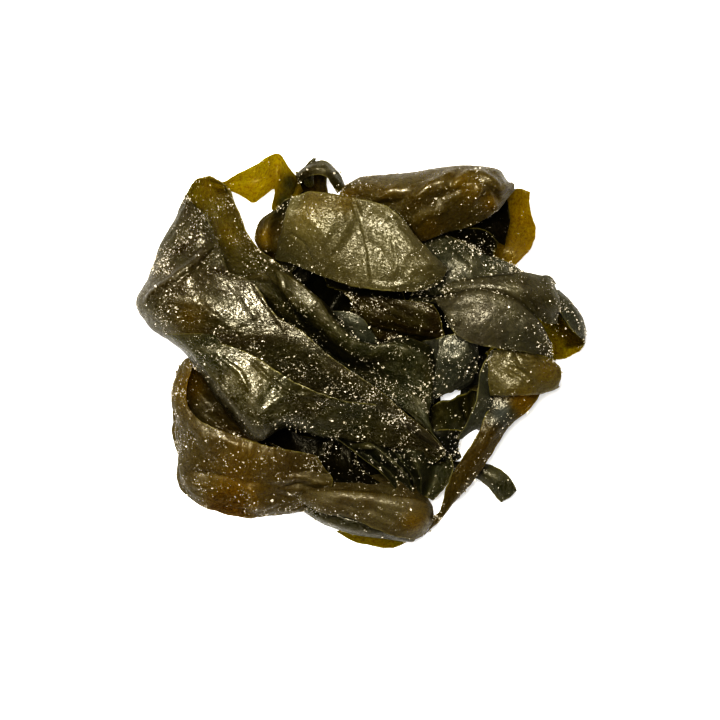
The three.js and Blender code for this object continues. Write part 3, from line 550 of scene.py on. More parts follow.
# A pleat on edge next to it.
fold(
    "side_pleat", under=("last", 34, 1),
    look=dict(slate_and_sheen=0.3, matt=0.5, green=0.7, bloom_and_sheen=0.2, salt=0.7, waves=0.6, crumple=0.8),
    ribs=[
        [(494, 347, 58), (498, 351, 57), (503, 356, 50)],
        [(482, 367, 68), (487, 371, 62), (495, 376, 50)],
        [(477, 396, 65), (483, 399, 59), (492, 404, 46)],
        [(468, 418, 56), (474, 422, 50), (486, 425, 42)],
        [(457, 440, 42), (463, 438, 40), (477, 429, 36)],
    ],
)

# The upright panel left of that pleat.
fold(
    "middle_panel", under=("first", 36, 18),
    look=dict(matt=0.4, grain=1.6, green=0.8, slate_and_sheen=0.4, bloom_and_sheen=0.7, salt=1.2, waves=0.3, crumple=1.2,
              lean=-30),
    ribs=[
        [(437, 338, 66), (452, 334, 69), (467, 336, 69), (478, 341, 58)],
        [(435, 360, 63), (450, 357, 67), (466, 357, 68), (479, 361, 52)],
        [(433, 384, 52), (446, 380, 55), (460, 380, 54), (471, 385, 42)],
        [(429, 402, 44), (441, 396, 48), (452, 392, 48), (460, 391, 42)],
    ],
)

# A crinkled patch in front of the panel.
fold(
    "crinkled_patch", under=("first", 44, 2),
    look=dict(skin="thin", matt=0.3, green=0.5, salt=0.2, clear=0.0, waves=0.6, crumple=2.2),
    ribs=[
        [(429, 409, 37), (445, 401, 43), (457, 399, 40), (478, 387, 20)],
        [(429, 419, 31), (445, 416, 36), (459, 413, 30), (475, 410, 16)],
        [(429, 438, 24), (446, 438, 26), (461, 434, 20), (472, 428, 14)],
    ],
)

# A leaf deep in the middle hollow.
fold(
    "slate_leaf", under=("last", 30, 18),
    look=dict(slate_and_sheen=0.3, matt=0.4, green=1.0, bloom_and_sheen=0.1, salt=0.2, waves=0.3, crumple=0.4),
    ribs=[
        [(322, 311, 42), (332, 321, 40), (344, 336, 34)],
        [(345, 311, 48), (353, 324, 46), (364, 342, 38)],
        [(362, 315, 47), (370, 328, 44), (380, 343, 36)],
    ],
)

# What shows under the flap's free margin.
fold(
    "flap_lining",
    look=dict(skin="inside", green=0.5, bloom_and_sheen=0.7, salt=0.9),
    ribs=[
        [(322, 250, 20), (324, 274, 64), (326, 279, 62), (328, 285, 58)],
        [(346, 250, 20), (346, 276, 72), (348, 283, 68), (350, 290, 62)],
        [(370, 252, 20), (372, 280, 76), (374, 287, 71), (376, 293, 64)],
        [(394, 256, 20), (400, 285, 72), (403, 291, 68), (405, 298, 60)],
    ],
)

# The fold that closes the hollow on the right.
fold(
    "brown_fold", under=("last", 40, 20),
    look=dict(skin="thin", matt=0.3, green=0.0, clear=0.12, bloom_and_sheen=0.2, salt=1.0, crumple=1.6),
    ribs=[
        [(334, 290, 58), (346, 296, 57), (352, 309, 52)],
        [(357, 291, 56), (365, 304, 52), (374, 322, 38)],
        [(382, 296, 58), (390, 308, 54), (398, 326, 36)],
        [(410, 300, 62), (415, 312, 60), (418, 331, 42)],
        [(434, 304, 68), (440, 316, 66), (446, 337, 52)],
    ],
)

# A leaf deep in front of the wide stretch.
fold(
    "dark_leaf", under=("first", 40, 12),
    look=dict(skin="inside", green=0.3, bloom_and_sheen=0.3, salt=0.6),
    ribs=[
        [(330, 433, 44), (340, 440, 42), (356, 450, 38)],
        [(314, 456, 42), (332, 460, 42), (360, 466, 36)],
        [(319, 470, 34), (345, 476, 36), (384, 486, 30)],
        [(330, 484, 28), (360, 490, 30), (400, 498, 24)],
    ],
)

# The tuck where the pleats meet the upright panel.
fold(
    "corner_tuck",
    look=dict(slate_and_sheen=0.4, skin="inside", green=0.6, bloom_and_sheen=0.6, salt=0.9),
    ribs=[
        [(426, 432, 38), (431, 446, 43), (436, 462, 37)],
        [(444, 430, 36), (447, 444, 40), (450, 461, 35)],
        [(464, 430, 29), (457, 443, 32), (460, 457, 28)],
    ],
)

# A small pointed tip by the tube.
fold(
    "leaf_tip",
    look=dict(green=0.5, bloom_and_sheen=0.2, salt=0.1, waves=0.2, crumple=0.3),
    ribs=[
        [(304, 184, 36), (309, 188, 38), (314, 186, 35)],
        [(304, 172, 44), (309, 175, 46), (313, 171, 43)],
        [(309, 164, 49), (311, 166, 50), (314, 165, 49)],
        [(315, 158, 52), (315, 159, 52), (316, 159, 52)],
    ],
)

# A fan of pleats that gathers towards the tongue's corner.
fold(
    "fan_pleats", under=("start", 44, 20),
    look=dict(matt=0.4, green=1.0, bloom_and_sheen=0.3, salt=0.7, waves=0.5, crumple=0.5),
    ribs=[
        [(332, 434, 56), (350, 443, 34), (371, 444, 58), (390, 446, 34), (414, 450, 58), (432, 453, 36),
         (450, 455, 50)],
        [(356, 452, 53), (372, 458, 30), (389, 458, 57), (402, 461, 30), (417, 464, 55), (435, 466, 33),
         (452, 468, 46)],
        [(382, 472, 46), (393, 475, 23), (404, 472, 51), (412, 476, 22), (420, 479, 48), (432, 481, 28),
         (444, 485, 40)],
        [(404, 497, 27), (408, 494, 18), (413, 490, 38), (416, 491, 18), (420, 493, 37), (426, 497, 24),
         (433, 500, 28)],
    ],
)

# The folds that lie hidden underneath. Reach is their outline's distance from the middle in evenly spaced
# directions, anticlockwise from the right. They lie in waves of a given length and depth that run in the
# direction heading, and rise towards their margins by lift.
INNER_FOLDS = [
    {
        "middle": (345, 340),
        "reach": [150, 170, 140, 140, 140, 126, 100, 118, 150, 112, 130, 140, 130, 150, 128, 104],
        "height": 3, "lift": 12, "depth": 7, "length": 96, "heading": 24, "start": 0.6,
    },
    {
        "middle": (345, 335),
        "reach": [116, 134, 124, 116, 120, 96, 86, 100, 130, 110, 106, 110, 100, 100, 96, 94],
        "height": 27, "lift": 2, "depth": 9, "length": 74, "heading": -38, "start": 0.2,
    },
]

# ---------------------------------------------------------------- noise

LATTICE = 256  # units after which the noise repeats
RANDOM = np.random.default_rng(7)
ORDER = RANDOM.permutation(LATTICE)
TURNS = RANDOM.uniform(0, 2 * math.pi, LATTICE)
LAYER_SHIFT = (17, -11)  # moves each layer of noise on, so that their lattices don't line up
ELSEWHERE = 40  # moves the noise on to where it is quite different


def corner(column, row, dx, dy):
    """What one lattice corner adds to the noise at an offset from it."""
    turn = TURNS[ORDER[(ORDER[column % LATTICE] + row) % LATTICE]]
    return np.cos(turn) * dx + np.sin(turn) * dy


def eased(t):
    """From 0 to 1 with a gentle start and end."""
    return t * t * t * (t * (6 * t - 15) + 10)


def noise(x, y):
    """Smooth gradient noise, from about -0.7 to 0.7, that changes over one unit."""
    column = np.floor(x).astype(int)
    row = np.floor(y).astype(int)
    dx = x - column
    dy = y - row
    across = eased(dx)
    up = eased(dy)
    lines = []
    for k in (0, 1):
        left = corner(column, row + k, dx, dy - k)
        right = corner(column + 1, row + k, dx - 1, dy - k)
        lines.append(left * (1 - across) + right * across)
    return lines[0] * (1 - up) + lines[1] * up


def layered(x, y, layers):
    """Noise with finer and weaker noise on top."""
    right, down = LAYER_SHIFT
    return sum(noise(x * 2**k + right * k, y * 2**k + down * k) / 2**k for k in range(layers))


def patchy(x, y, layers, share):
    """A share that changes from patch to patch, given by its middle, its swing, its least and its most."""
    middle, swing, least, most = share
    return np.clip(middle + swing * layered(x, y, layers), least, most)


def creased(x, y):
    """Sharp ridges with round valleys between them, from about -1 to 0."""
    return -np.abs(noise(x, y)) * 2


# ---------------------------------------------------------------- lofting

SAME_PLACE = 1e-2  # the root of a distance; points closer than that count as one
FEWEST_STEPS = 4  # along or across a sheet
FINER = 8  # looks that the loft takes at each span between two ribs, to measure it
TINY = 1e-15  # keeps a length from being zero


def on_table(paper):
    """Points on the squared paper as points over the table, in metres."""
    x = (paper[..., 0] - PAPER_MIDDLE[0]) * SQUARE
    y = (PAPER_MIDDLE[1] - paper[..., 1]) * SQUARE
    return np.stack([x, y, paper[..., 2] * SQUARE], -1)


def on_paper(points):
    """How far right and down on the squared paper points over the table lie."""
    return points[..., 0] / SQUARE + PAPER_MIDDLE[0], PAPER_MIDDLE[1] - points[..., 1] / SQUARE


def through(points, t, closed=False):
    """The smooth curve through the points, by rows, at the places t, where 1 is the second point.

    Its spans count by the roots of their lengths, which keeps a short span between long ones from looping.
    """
    p = np.asarray(points, float)
    if closed:
        q = np.concatenate([p[-1:], p, p[:2]])
    else:
        q = np.concatenate([(2 * p[0] - p[1])[None], p, (2 * p[-1] - p[-2])[None]])
    spans = np.sqrt(np.linalg.norm(np.diff(q, axis=0), axis=-1))
    at = np.minimum(np.asarray(t).astype(int), len(q) - 4)
    w = (t - at).reshape((-1,) + (1,) * (q.ndim - 1))
    d0, d1, d2 = (spans[at + k][..., None] for k in range(3))
    d1 = np.where(d1 < SAME_PLACE, 1, d1)
    d0 = np.where(d0 < SAME_PLACE, d1, d0)
    d2 = np.where(d2 < SAME_PLACE, d1, d2)
    x0, x1, x2, x3 = (q[at + k] for k in range(4))
    leaving = ((x1 - x0) / d0 - (x2 - x0) / (d0 + d1) + (x2 - x1) / d1) * d1
    arriving = ((x2 - x1) / d1 - (x3 - x1) / (d1 + d2) + (x3 - x2) / d2) * d1
    bent = 3 * (x2 - x1) - 2 * leaving - arriving
    turned = 2 * (x1 - x2) + leaving + arriving
    return x1 + leaving * w + bent * w * w + turned * w**3


def turned_under(point, reach, height):
    """Four more points past a margin point: round the bend, on the slope, and level up to the end."""
    x, y, z = point
    dx = PAPER_MIDDLE[0] - x
    dy = PAPER_MIDDLE[1] - y
    away = math.hypot(dx, dy)
    bend = (-BEND / 2 / reach, max(z - BEND, 0))
    slope = (SLOPE_AT, height + SLOPE_LEFT * (z - height))
    places = (bend, slope, (LEVEL_AT, height), (1, height))
    return [(x + dx / away * reach * share, y + dy / away * reach * share, level) for share, level in places]


def with_underside(ribs, under):
    """A fold's ribs, longer by what turns under at one side or end."""
    if under is None:
        return ribs
    side, reach, height = under
    if side == "last":
        return [rib + turned_under(rib[-1], reach, height) for rib in ribs]
    if side == "first":
        return [turned_under(rib[0], reach, height)[::-1] + rib for rib in ribs]
    end = ribs[-1] if side == "end" else ribs[0]
    more = [list(rib) for rib in zip(*(turned_under(point, reach, height) for point in end))]
    return ribs + more if side == "end" else more[::-1] + ribs


def even_places(lengths, step):
    """Places on a row of spans, given by their lengths, that lie a step apart, and how far along each is."""
    reached = np.concatenate([[0], np.cumsum(lengths)])
    count = max(math.ceil(reached[-1] / step), FEWEST_STEPS)
    along = np.linspace(0, reached[-1], count + 1)
    return np.interp(along, reached, np.arange(len(reached))), along


def lofted(ribs, step):
    """A fold's middle surface as a grid of points, with how far along and across each one lies."""
    across = np.swapaxes(np.array(ribs, float), 0, 1)
    points, count = across.shape[:2]
    rough = np.swapaxes(through(across, np.linspace(0, points - 1, (points - 1) * FINER + 1)), 0, 1)
    rough = on_table(through(rough, np.linspace(0, count - 1, (count - 1) * FINER + 1)))
    along_lengths = np.linalg.norm(np.diff(rough, axis=0), axis=-1).mean(1)
    across_lengths = np.linalg.norm(np.diff(rough, axis=1), axis=-1).mean(0)
    u, s = even_places(along_lengths, step)
    v, t = even_places(across_lengths, step)
    grid = np.swapaxes(through(across, v / FINER), 0, 1)
    grid = on_table(through(grid, u / FINER))
    return grid, np.broadcast_to(s[:, None], grid.shape[:2]), np.broadcast_to(t[None], grid.shape[:2])


RAGGED_SHIFT = 3.7  # moves the noise on from fold to fold


def ragged(grid, s, t, seed):
    """Lets the margins stray in the sheet's own plane, so that no edge is a clean curve."""
    grid = grid.copy()
    for sheet, along, across in ((grid, s, t), (np.swapaxes(grid, 0, 1), t.T, s.T)):
        inward = sheet[:, 1:2] - sheet[:, :1]
        outward = sheet[:, -1:] - sheet[:, -2:-1]
        near = np.exp(-across / RAGGED_REACH)[..., None]
        far = np.exp(-(across[:, -1:] - across) / RAGGED_REACH)[..., None]
        place = along[:, :1] / RAGGED_LENGTH
        for direction, share, offset in ((inward, near, 0), (outward, far, ELSEWHERE)):
            unit = direction / np.maximum(np.linalg.norm(direction, axis=-1, keepdims=True), TINY)
            stray = layered(place + offset, np.full_like(place, seed * RAGGED_SHIFT), 3)
            sheet += unit * share * stray[..., None] * RAGGED
    return grid, s, t


def inner_disc(sheet, step):
    """A round, pleated fold under the others, as a square grid eased into its rounded outline."""
    reach = np.array(sheet["reach"], float)
    angles = 2 * math.pi * np.arange(len(reach)) / len(reach)
    ends = np.stack([np.cos(angles) * reach, np.sin(angles) * reach], -1)
    width = 2 * reach.mean() * SQUARE
    side = np.linspace(-1, 1, int(width / step))
    u, v = np.meshgrid(side, side, indexing="ij")
    x = u * np.sqrt(1 - v * v / 2)
    y = v * np.sqrt(1 - u * u / 2)
    angle = np.arctan2(y, x)
    turn = (angle / (2 * math.pi) + 1) % 1
    edge = np.linalg.norm(through(ends, turn.ravel() * len(reach), closed=True), axis=1).reshape(turn.shape)
    share = np.minimum(1, np.hypot(x, y))
    x = share * edge * np.cos(angle)
    y = share * edge * np.sin(angle)
    heading = math.radians(sheet["heading"])
    way = (x * math.cos(heading) + y * math.sin(heading)) / sheet["length"] + sheet["start"]
    z = sheet["height"] + sheet["depth"] * np.sin(2 * math.pi * way) + sheet["lift"] * share**3
    grid = on_table(np.stack([sheet["middle"][0] + x, sheet["middle"][1] - y, np.maximum(z, 0)], -1))
    lay = (side + 1) / 2 * width
    return grid, np.broadcast_to(lay[:, None], z.shape), np.broadcast_to(lay[None], z.shape)


# ---------------------------------------------------------------- relief

# Sharp wrinkles in millimetres: how high, how far apart along and across, and where in the noise they start.
LONG_FOLDS = [(1.4, 26, 11, 70, 0), (0.8, 12, 19, 0, 60)]
CRUMPLES = [(0.34, 13, 4.6, 0, 0), (0.22, 4.4, 9.5, 20, 0)]
CRINKLES = [(0.15, 5, 1.9, 9, 0), (0.12, 2.1, 3.8, 0, 14)]
WAVE_HEIGHT = 0.45  # mm
WAVE_SIZE = (24, 11)  # mm
PATCH_SIZE = 9  # mm, of the patches that the crinkles come in
PATCH_START = 30
PATCH_SHARE = (0.55, 1.8, 0.1, 1)  # of the crinkles' height, see patchy
WANDER = 1.6  # mm that all of them stray from straight lines, over the length of a patch
WANDER_START = 50
WRINKLE_SHIFT = (31.7, 17.3)  # moves them on from fold to fold

TOP_CELL = 0.9 * MM  # side of the cells in which the highest point is looked for
TOP_SLACK = 1.6 * MM  # what lies less than this below it is on top too

CREASE_STRAY = 2  # squares that a crease strays from its drawn line
CREASE_STRAY_LENGTH = 14  # squares along which it does
CREASE_FADE = 6  # it reaches its full height at one such part of its length
CREASE_END = 0.25  # of its height, left at its ends


def normals(grid):
    """The direction that each point of a sheet faces."""
    n = np.cross(np.gradient(grid, axis=0), np.gradient(grid, axis=1))
    return n / np.maximum(np.linalg.norm(n, axis=-1, keepdims=True), TINY)


def wrinkled(a, b, kinds):
    """Height of several kinds of sharp wrinkles."""
    return sum(height * creased(a / along + x, b / across + y) for height, along, across, x, y in kinds)


def wrinkles(s, t, look, seed):
    """Height over the sheet: soft waves and long folds, then crumples, then fine crinkles in patches."""
    lean = math.radians(look["lean"])
    a = (s * math.cos(lean) + t * math.sin(lean)) / MM + seed * WRINKLE_SHIFT[0]
    b = (-s * math.sin(lean) + t * math.cos(lean)) / MM + seed * WRINKLE_SHIFT[1]
    b = b + WANDER * noise(a / PATCH_SIZE + WANDER_START, b / PATCH_SIZE)
    waves = WAVE_HEIGHT * layered(a / WAVE_SIZE[0], b / WAVE_SIZE[1], 2) + wrinkled(a, b, LONG_FOLDS)
    patches = patchy(a / PATCH_SIZE, b / PATCH_SIZE + PATCH_START, 1, PATCH_SHARE)
    crumples = wrinkled(a, b, CRUMPLES) + wrinkled(a, b, CRINKLES) * patches
    return (waves * look["waves"] + crumples * look["crumple"]) * MM


def foremost(cells, depth, slack):
    """Which points are the foremost in their cell, or lie behind it by less than the slack."""
    cells = np.floor(cells).astype(int)
    cells -= cells.min(0)
    keys, place = np.unique(cells[:, 0] * (cells[:, 1].max() + 1) + cells[:, 1], return_inverse=True)
    front = np.full(len(keys), -np.inf)
    np.maximum.at(front, place, depth)
    return depth > front[place] - slack


def upper_side(grid):
    """Which points of a fold are the highest over their place, so that they show from above."""
    points = grid.reshape(-1, 3)
    cells = (points[:, :2] - points[:, :2].min(0)) / TOP_CELL
    return foremost(cells, points[:, 2], TOP_SLACK).reshape(grid.shape[:2])


def distance_to_line(x, y, line):
    """How far points on the paper lie from a line of several stretches, and how far along it they are."""
    best = np.full(x.shape, np.inf)
    share = np.zeros(x.shape)
    for k, (a, b) in enumerate(zip(line[:-1], line[1:])):
        dx = b[0] - a[0]
        dy = b[1] - a[1]
        w = np.clip(((x - a[0]) * dx + (y - a[1]) * dy) / (dx * dx + dy * dy), 0, 1)
        d = np.hypot(x - a[0] - w * dx, y - a[1] - w * dy)
        share = np.where(d < best, (k + w) / (len(line) - 1), share)
        best = np.minimum(best, d)
    return best, share


def pressed(grid, n, creases, seed):
    """Height of the marked creases: each is a ridge, or a groove where its height is negative."""
    x, y = on_paper(grid)
    x = x + CREASE_STRAY * noise(x / CREASE_STRAY_LENGTH + seed, y / CREASE_STRAY_LENGTH)
    y = y + CREASE_STRAY * noise(x / CREASE_STRAY_LENGTH, y / CREASE_STRAY_LENGTH + seed + ELSEWHERE)
    height = np.zeros(x.shape)
    for rise, width, line in creases:
        d, share = distance_to_line(x, y, line)
        fade = np.clip(np.minimum(share, 1 - share) * CREASE_FADE, 0, 1)
        profile = np.exp(-((d * SQUARE / (width * MM)) ** 2))
        height += rise * MM * profile * (CREASE_END + (1 - CREASE_END) * fade)
    return height * np.where(n[..., 2] < 0, -1, 1) * upper_side(grid)


# ---------------------------------------------------------------- sheets with a thickness

# Spots on the paper where the blade differs: their middle, their radius in squares, and by how much.
# These spots also set how much painted glow the blade's colour gets.
THIN_SPOTS = [  # more light comes through, or less
    ((192, 318), 20, 0.3), ((204, 194), 18, 0.08), ((228, 236), 14, 0.2), ((190, 386), 16, 0.4),
    ((245, 466), 30, 0.25), ((228, 506), 22, 0.8), ((466, 188), 12, 0.3), ((487, 204), 9, 0.3),
    ((428, 228), 12, 0.2), ((522, 402), 14, 0.4), ((548, 372), 14, 0.3), ((414, 522), 11, 0.35),
    ((314, 203), 20, 0.32), ((346, 204), 14, 0.35), ((296, 222), 12, 0.1), ((264, 238), 10, 0.3),
    ((291, 184), 12, -0.6), ((284, 204), 11, -0.6), ((500, 413), 12, -0.5),
]
MOST_CLEAR = 0.8
# A painted sheen: a grey spot on the side ribbon.
PAINTED_SHEEN_SPOTS = [((500, 413), 12, 0.9)]
# Painted highlights: spots where the colour is made paler to stand in for light that falls on the blade.
PAINTED_HIGHLIGHT_SPOTS = [((306, 222), 20, 0.4), ((252, 378), 22, 0.25), ((385, 202), 16, 0.12)]
PATTERN_SHIFT = np.array([0.11, 0.07, 0])  # m that the colour pattern moves on from fold to fold
LOWER_SHIFT = np.array([0, 0, 0.03])  # m that it moves on from a sheet's upper to its lower skin


def spotted(points, spots):
    """How much the spots add at each point."""
    x, y = on_paper(points)
    return sum(more * np.exp(-((np.hypot(x - right, y - down) / width) ** 2))
               for (right, down), width, more in spots)


def to_margin(s, t):
    """How far each point of a sheet lies from its nearest margin."""
    return np.minimum(np.minimum(s, s[-1:] - s), np.minimum(t, t[:, -1:] - t))


def slab_faces(rows, columns):
    """The faces of a closed sheet: its upper skin, its lower skin and the rim between them."""
    index = np.arange(rows * columns).reshape(rows, columns)
    quads = (index[:-1, :-1], index[1:, :-1], index[1:, 1:], index[:-1, 1:])
    upper = np.stack([corners.ravel() for corners in quads], -1)
    border = np.concatenate([index[:-1, 0], index[-1, :-1], index[:0:-1, -1], index[0, :0:-1]])
    following = np.roll(border, -1)
    lower = rows * columns
    rim = np.stack([following, border, border + lower, following + lower], -1)
    return np.concatenate([upper, upper[:, ::-1] + lower, rim])


def store(mesh, name, values):
    """Gives every point of the mesh a number, or three, for its material."""
    vector = values.ndim == 2
    attribute = mesh.attributes.new(name, "FLOAT_VECTOR" if vector else "FLOAT", "POINT")
    attribute.data.foreach_set("vector" if vector else "value", values.astype(np.float32).ravel())


def sheet_mesh(name, grid, n, s, t, look, seed):
    """One closed sheet: an upper and a lower skin, joined round the margin."""
    edge = to_margin(s, t)
    swell = 1 - np.exp(-((edge / MARGIN_TAPER) ** 2))
    half = (MARGIN_THICKNESS + (BLADE_THICKNESS - MARGIN_THICKNESS) * swell) / 2 * look["thick"]
    middle = grid.copy()
    middle[..., 2] = np.maximum(middle[..., 2], half)
    skins = np.stack([middle + n * half[..., None], middle - n * half[..., None]])
    skins[..., 2] = np.maximum(skins[..., 2], 0)
    faces = slab_faces(*edge.shape)
    mesh = bpy.data.meshes.new(name)
    mesh.vertices.add(skins.size // 3)
    mesh.vertices.foreach_set("co", skins.astype(np.float32).ravel())
    mesh.loops.add(faces.size)
    mesh.loops.foreach_set("vertex_index", faces.astype(np.int32).ravel())
    mesh.polygons.add(len(faces))
    mesh.polygons.foreach_set("loop_start", np.arange(0, faces.size, 4, dtype=np.int32))
    mesh.update(calc_edges=True)
    mesh.validate()
    mesh.shade_smooth()

    lay = np.stack([s, t, np.zeros_like(s)], -1) + seed * PATTERN_SHIFT
    store(mesh, "lay", np.concatenate([lay.reshape(-1, 3), (lay + LOWER_SHIFT).reshape(-1, 3)]))
    tint = np.broadcast_to([look["green"], look["pale"], look["bloom_and_sheen"]], lay.shape).copy()
    tint[..., 1] += spotted(grid, PAINTED_HIGHLIGHT_SPOTS)
    finish = np.broadcast_to([look["grain"], look["matt"], look["slate_and_sheen"]], lay.shape).copy()
    finish[..., 2] = np.minimum(finish[..., 2] + spotted(grid, PAINTED_SHEEN_SPOTS), 1)
    for key, values in (("tint", tint), ("finish", finish)):
        store(mesh, key, np.concatenate([values.reshape(-1, 3)] * 2))
    clear = look["clear"] * (1 - (1 - look["fade"]) * s / s.max()) + spotted(grid, THIN_SPOTS)
    for key, values in (("edge", edge / MM), ("clear", np.minimum(clear, MOST_CLEAR))):
        store(mesh, key, np.concatenate([values.ravel()] * 2))
    return mesh


def piece(name, mesh, material):
    """Puts a mesh with its material into the scene."""
    made = bpy.data.objects.new(name, mesh)
    bpy.context.scene.collection.objects.link(made)
    mesh.materials.append(material)
    return made


# ---------------------------------------------------------------- materials

# The blade's colours.
BROWN = (0.016, 0.0096, 0, 1)
OLIVE = (0.0085, 0.0106, 0, 1)
LIGHT_PATCH = (0.026, 0.022, 0, 1)
DARK_FLECK = (0.003, 0.0029, 0.0005, 1)
# A pale tone that is partly bleaching and partly a painted highlight.
BLEACHED_AND_HIGHLIGHT = (0.1, 0.082, 0.022, 1)
# Blue-grey that is partly the blade's tone and partly a painted sheen.
SLATE_AND_SHEEN = (0.024, 0.027, 0.023, 1)
PAINTED_GLOW = (0.12, 0.078, 0.0005, 1)  # painted glow of the light that comes through
RIM = (0.13, 0.115, 0.03, 1)  # the line along its very margin
# Colour of the bloom's clouds, which also paint a grey sheen.
BLOOM_AND_SHEEN = (0.066, 0.056, 0.026, 1)
DUST = (0.62, 0.59, 0.5, 1)
# Painted shade: what the inside skin is darkened towards.
PAINTED_SHADE_BLACK = (0, 0, 0, 1)

# The light that comes through it.
AMBER_LIGHT = (0.84, 0.66, 0.004, 1)
LEAF_LIGHT = (0.68, 0.66, 0.008, 1)
PATCH_LIGHT = (0.5, 0.34, 0.02, 1)
FLECK_LIGHT = (0.38, 0.25, 0.012, 1)
CRACK_LIGHT = (0.22, 0.15, 0.004, 1)

GRAIN_HEIGHT = 0.08 * MM  # of the leathery grain, and of the crystals' faces
SALT_SHADES = ((0.185, 0.163, 0.108, 1), (0.48, 0.44, 0.35, 1))
FLOOR_SHADES = ((0.58, 0.58, 0.575, 1), (0.62, 0.62, 0.615, 1))
FLOOR_GLOW = 0.35


class Nodes:
    """Short names for making and joining shader nodes."""

    def __init__(self, name):
        self.material = bpy.data.materials.new(name)
        self.material.use_nodes = True
        self.tree = self.material.node_tree
        self.tree.nodes.clear()
        self.output = self.tree.nodes.new("ShaderNodeOutputMaterial")

    def add(self, kind, inputs=None, **settings):
        node = self.tree.nodes.new(kind)
        for key, value in settings.items():
            setattr(node, key, value)
        for key, value in (inputs or {}).items():
            self.feed(node.inputs[key], value)
        return node

    def feed(self, socket, value):
        if isinstance(value, bpy.types.NodeSocket):
            self.tree.links.new(value, socket)
        else:
            socket.default_value = value

    def finished(self, shader):
        self.feed(self.output.inputs["Surface"], shader.outputs[0])
        return self.material

    def math(self, kind, a, b=0.0, clamp=False):
        return self.add("ShaderNodeMath", {0: a, 1: b}, operation=kind, use_clamp=clamp).outputs[0]

    def times(self, a, b, clamp=False):
        return self.math("MULTIPLY", a, b, clamp)

    def plus(self, a, b, clamp=False):
        return self.math("ADD", a, b, clamp)

    def mapped(self, value, low, high, start=0.0, end=1.0):
        """From start to end, with a gentle bend at each, as the value goes from low to high."""
        inputs = {"Value": value, "From Min": low, "From Max": high, "To Min": start, "To Max": end}
        return self.add("ShaderNodeMapRange", inputs, interpolation_type="SMOOTHSTEP").outputs[0]

    def mix(self, share, a, b):
        """Colour a with a share of colour b; the node's sockets 6 and 7 are its colours."""
        return self.add("ShaderNodeMix", {0: share, 6: a, 7: b}, data_type="RGBA").outputs[2]

    def noise(self, vector, scale, detail=3.0, roughness=0.55, distortion=0.0):
        inputs = {"Vector": vector, "Scale": scale, "Detail": detail, "Roughness": roughness}
        return self.add("ShaderNodeTexNoise", inputs | {"Distortion": distortion}).outputs["Fac"]

    def folded(self, noise):
        """Noise folded over at its middle, which leaves sharp lines."""
        return self.math("ABSOLUTE", self.math("SUBTRACT", noise, 0.5))

    def scaled(self, vector, scale):
        return self.add("ShaderNodeVectorMath", {0: vector, 1: scale}, operation="MULTIPLY").outputs[0]

    def stored(self, name, output="Fac"):
        """What the mesh stores for its points under a name."""
        return self.add("ShaderNodeAttribute", attribute_name=name).outputs[output]

    def three(self, name):
        """The three numbers that it stores under a name."""
        return self.add("ShaderNodeSeparateXYZ", {"Vector": self.stored(name, "Vector")}).outputs

    def bump(self, height, strength=1.0):
        inputs = {"Strength": strength, "Distance": GRAIN_HEIGHT, "Height": height}
        return self.add("ShaderNodeBump", inputs).outputs[0]


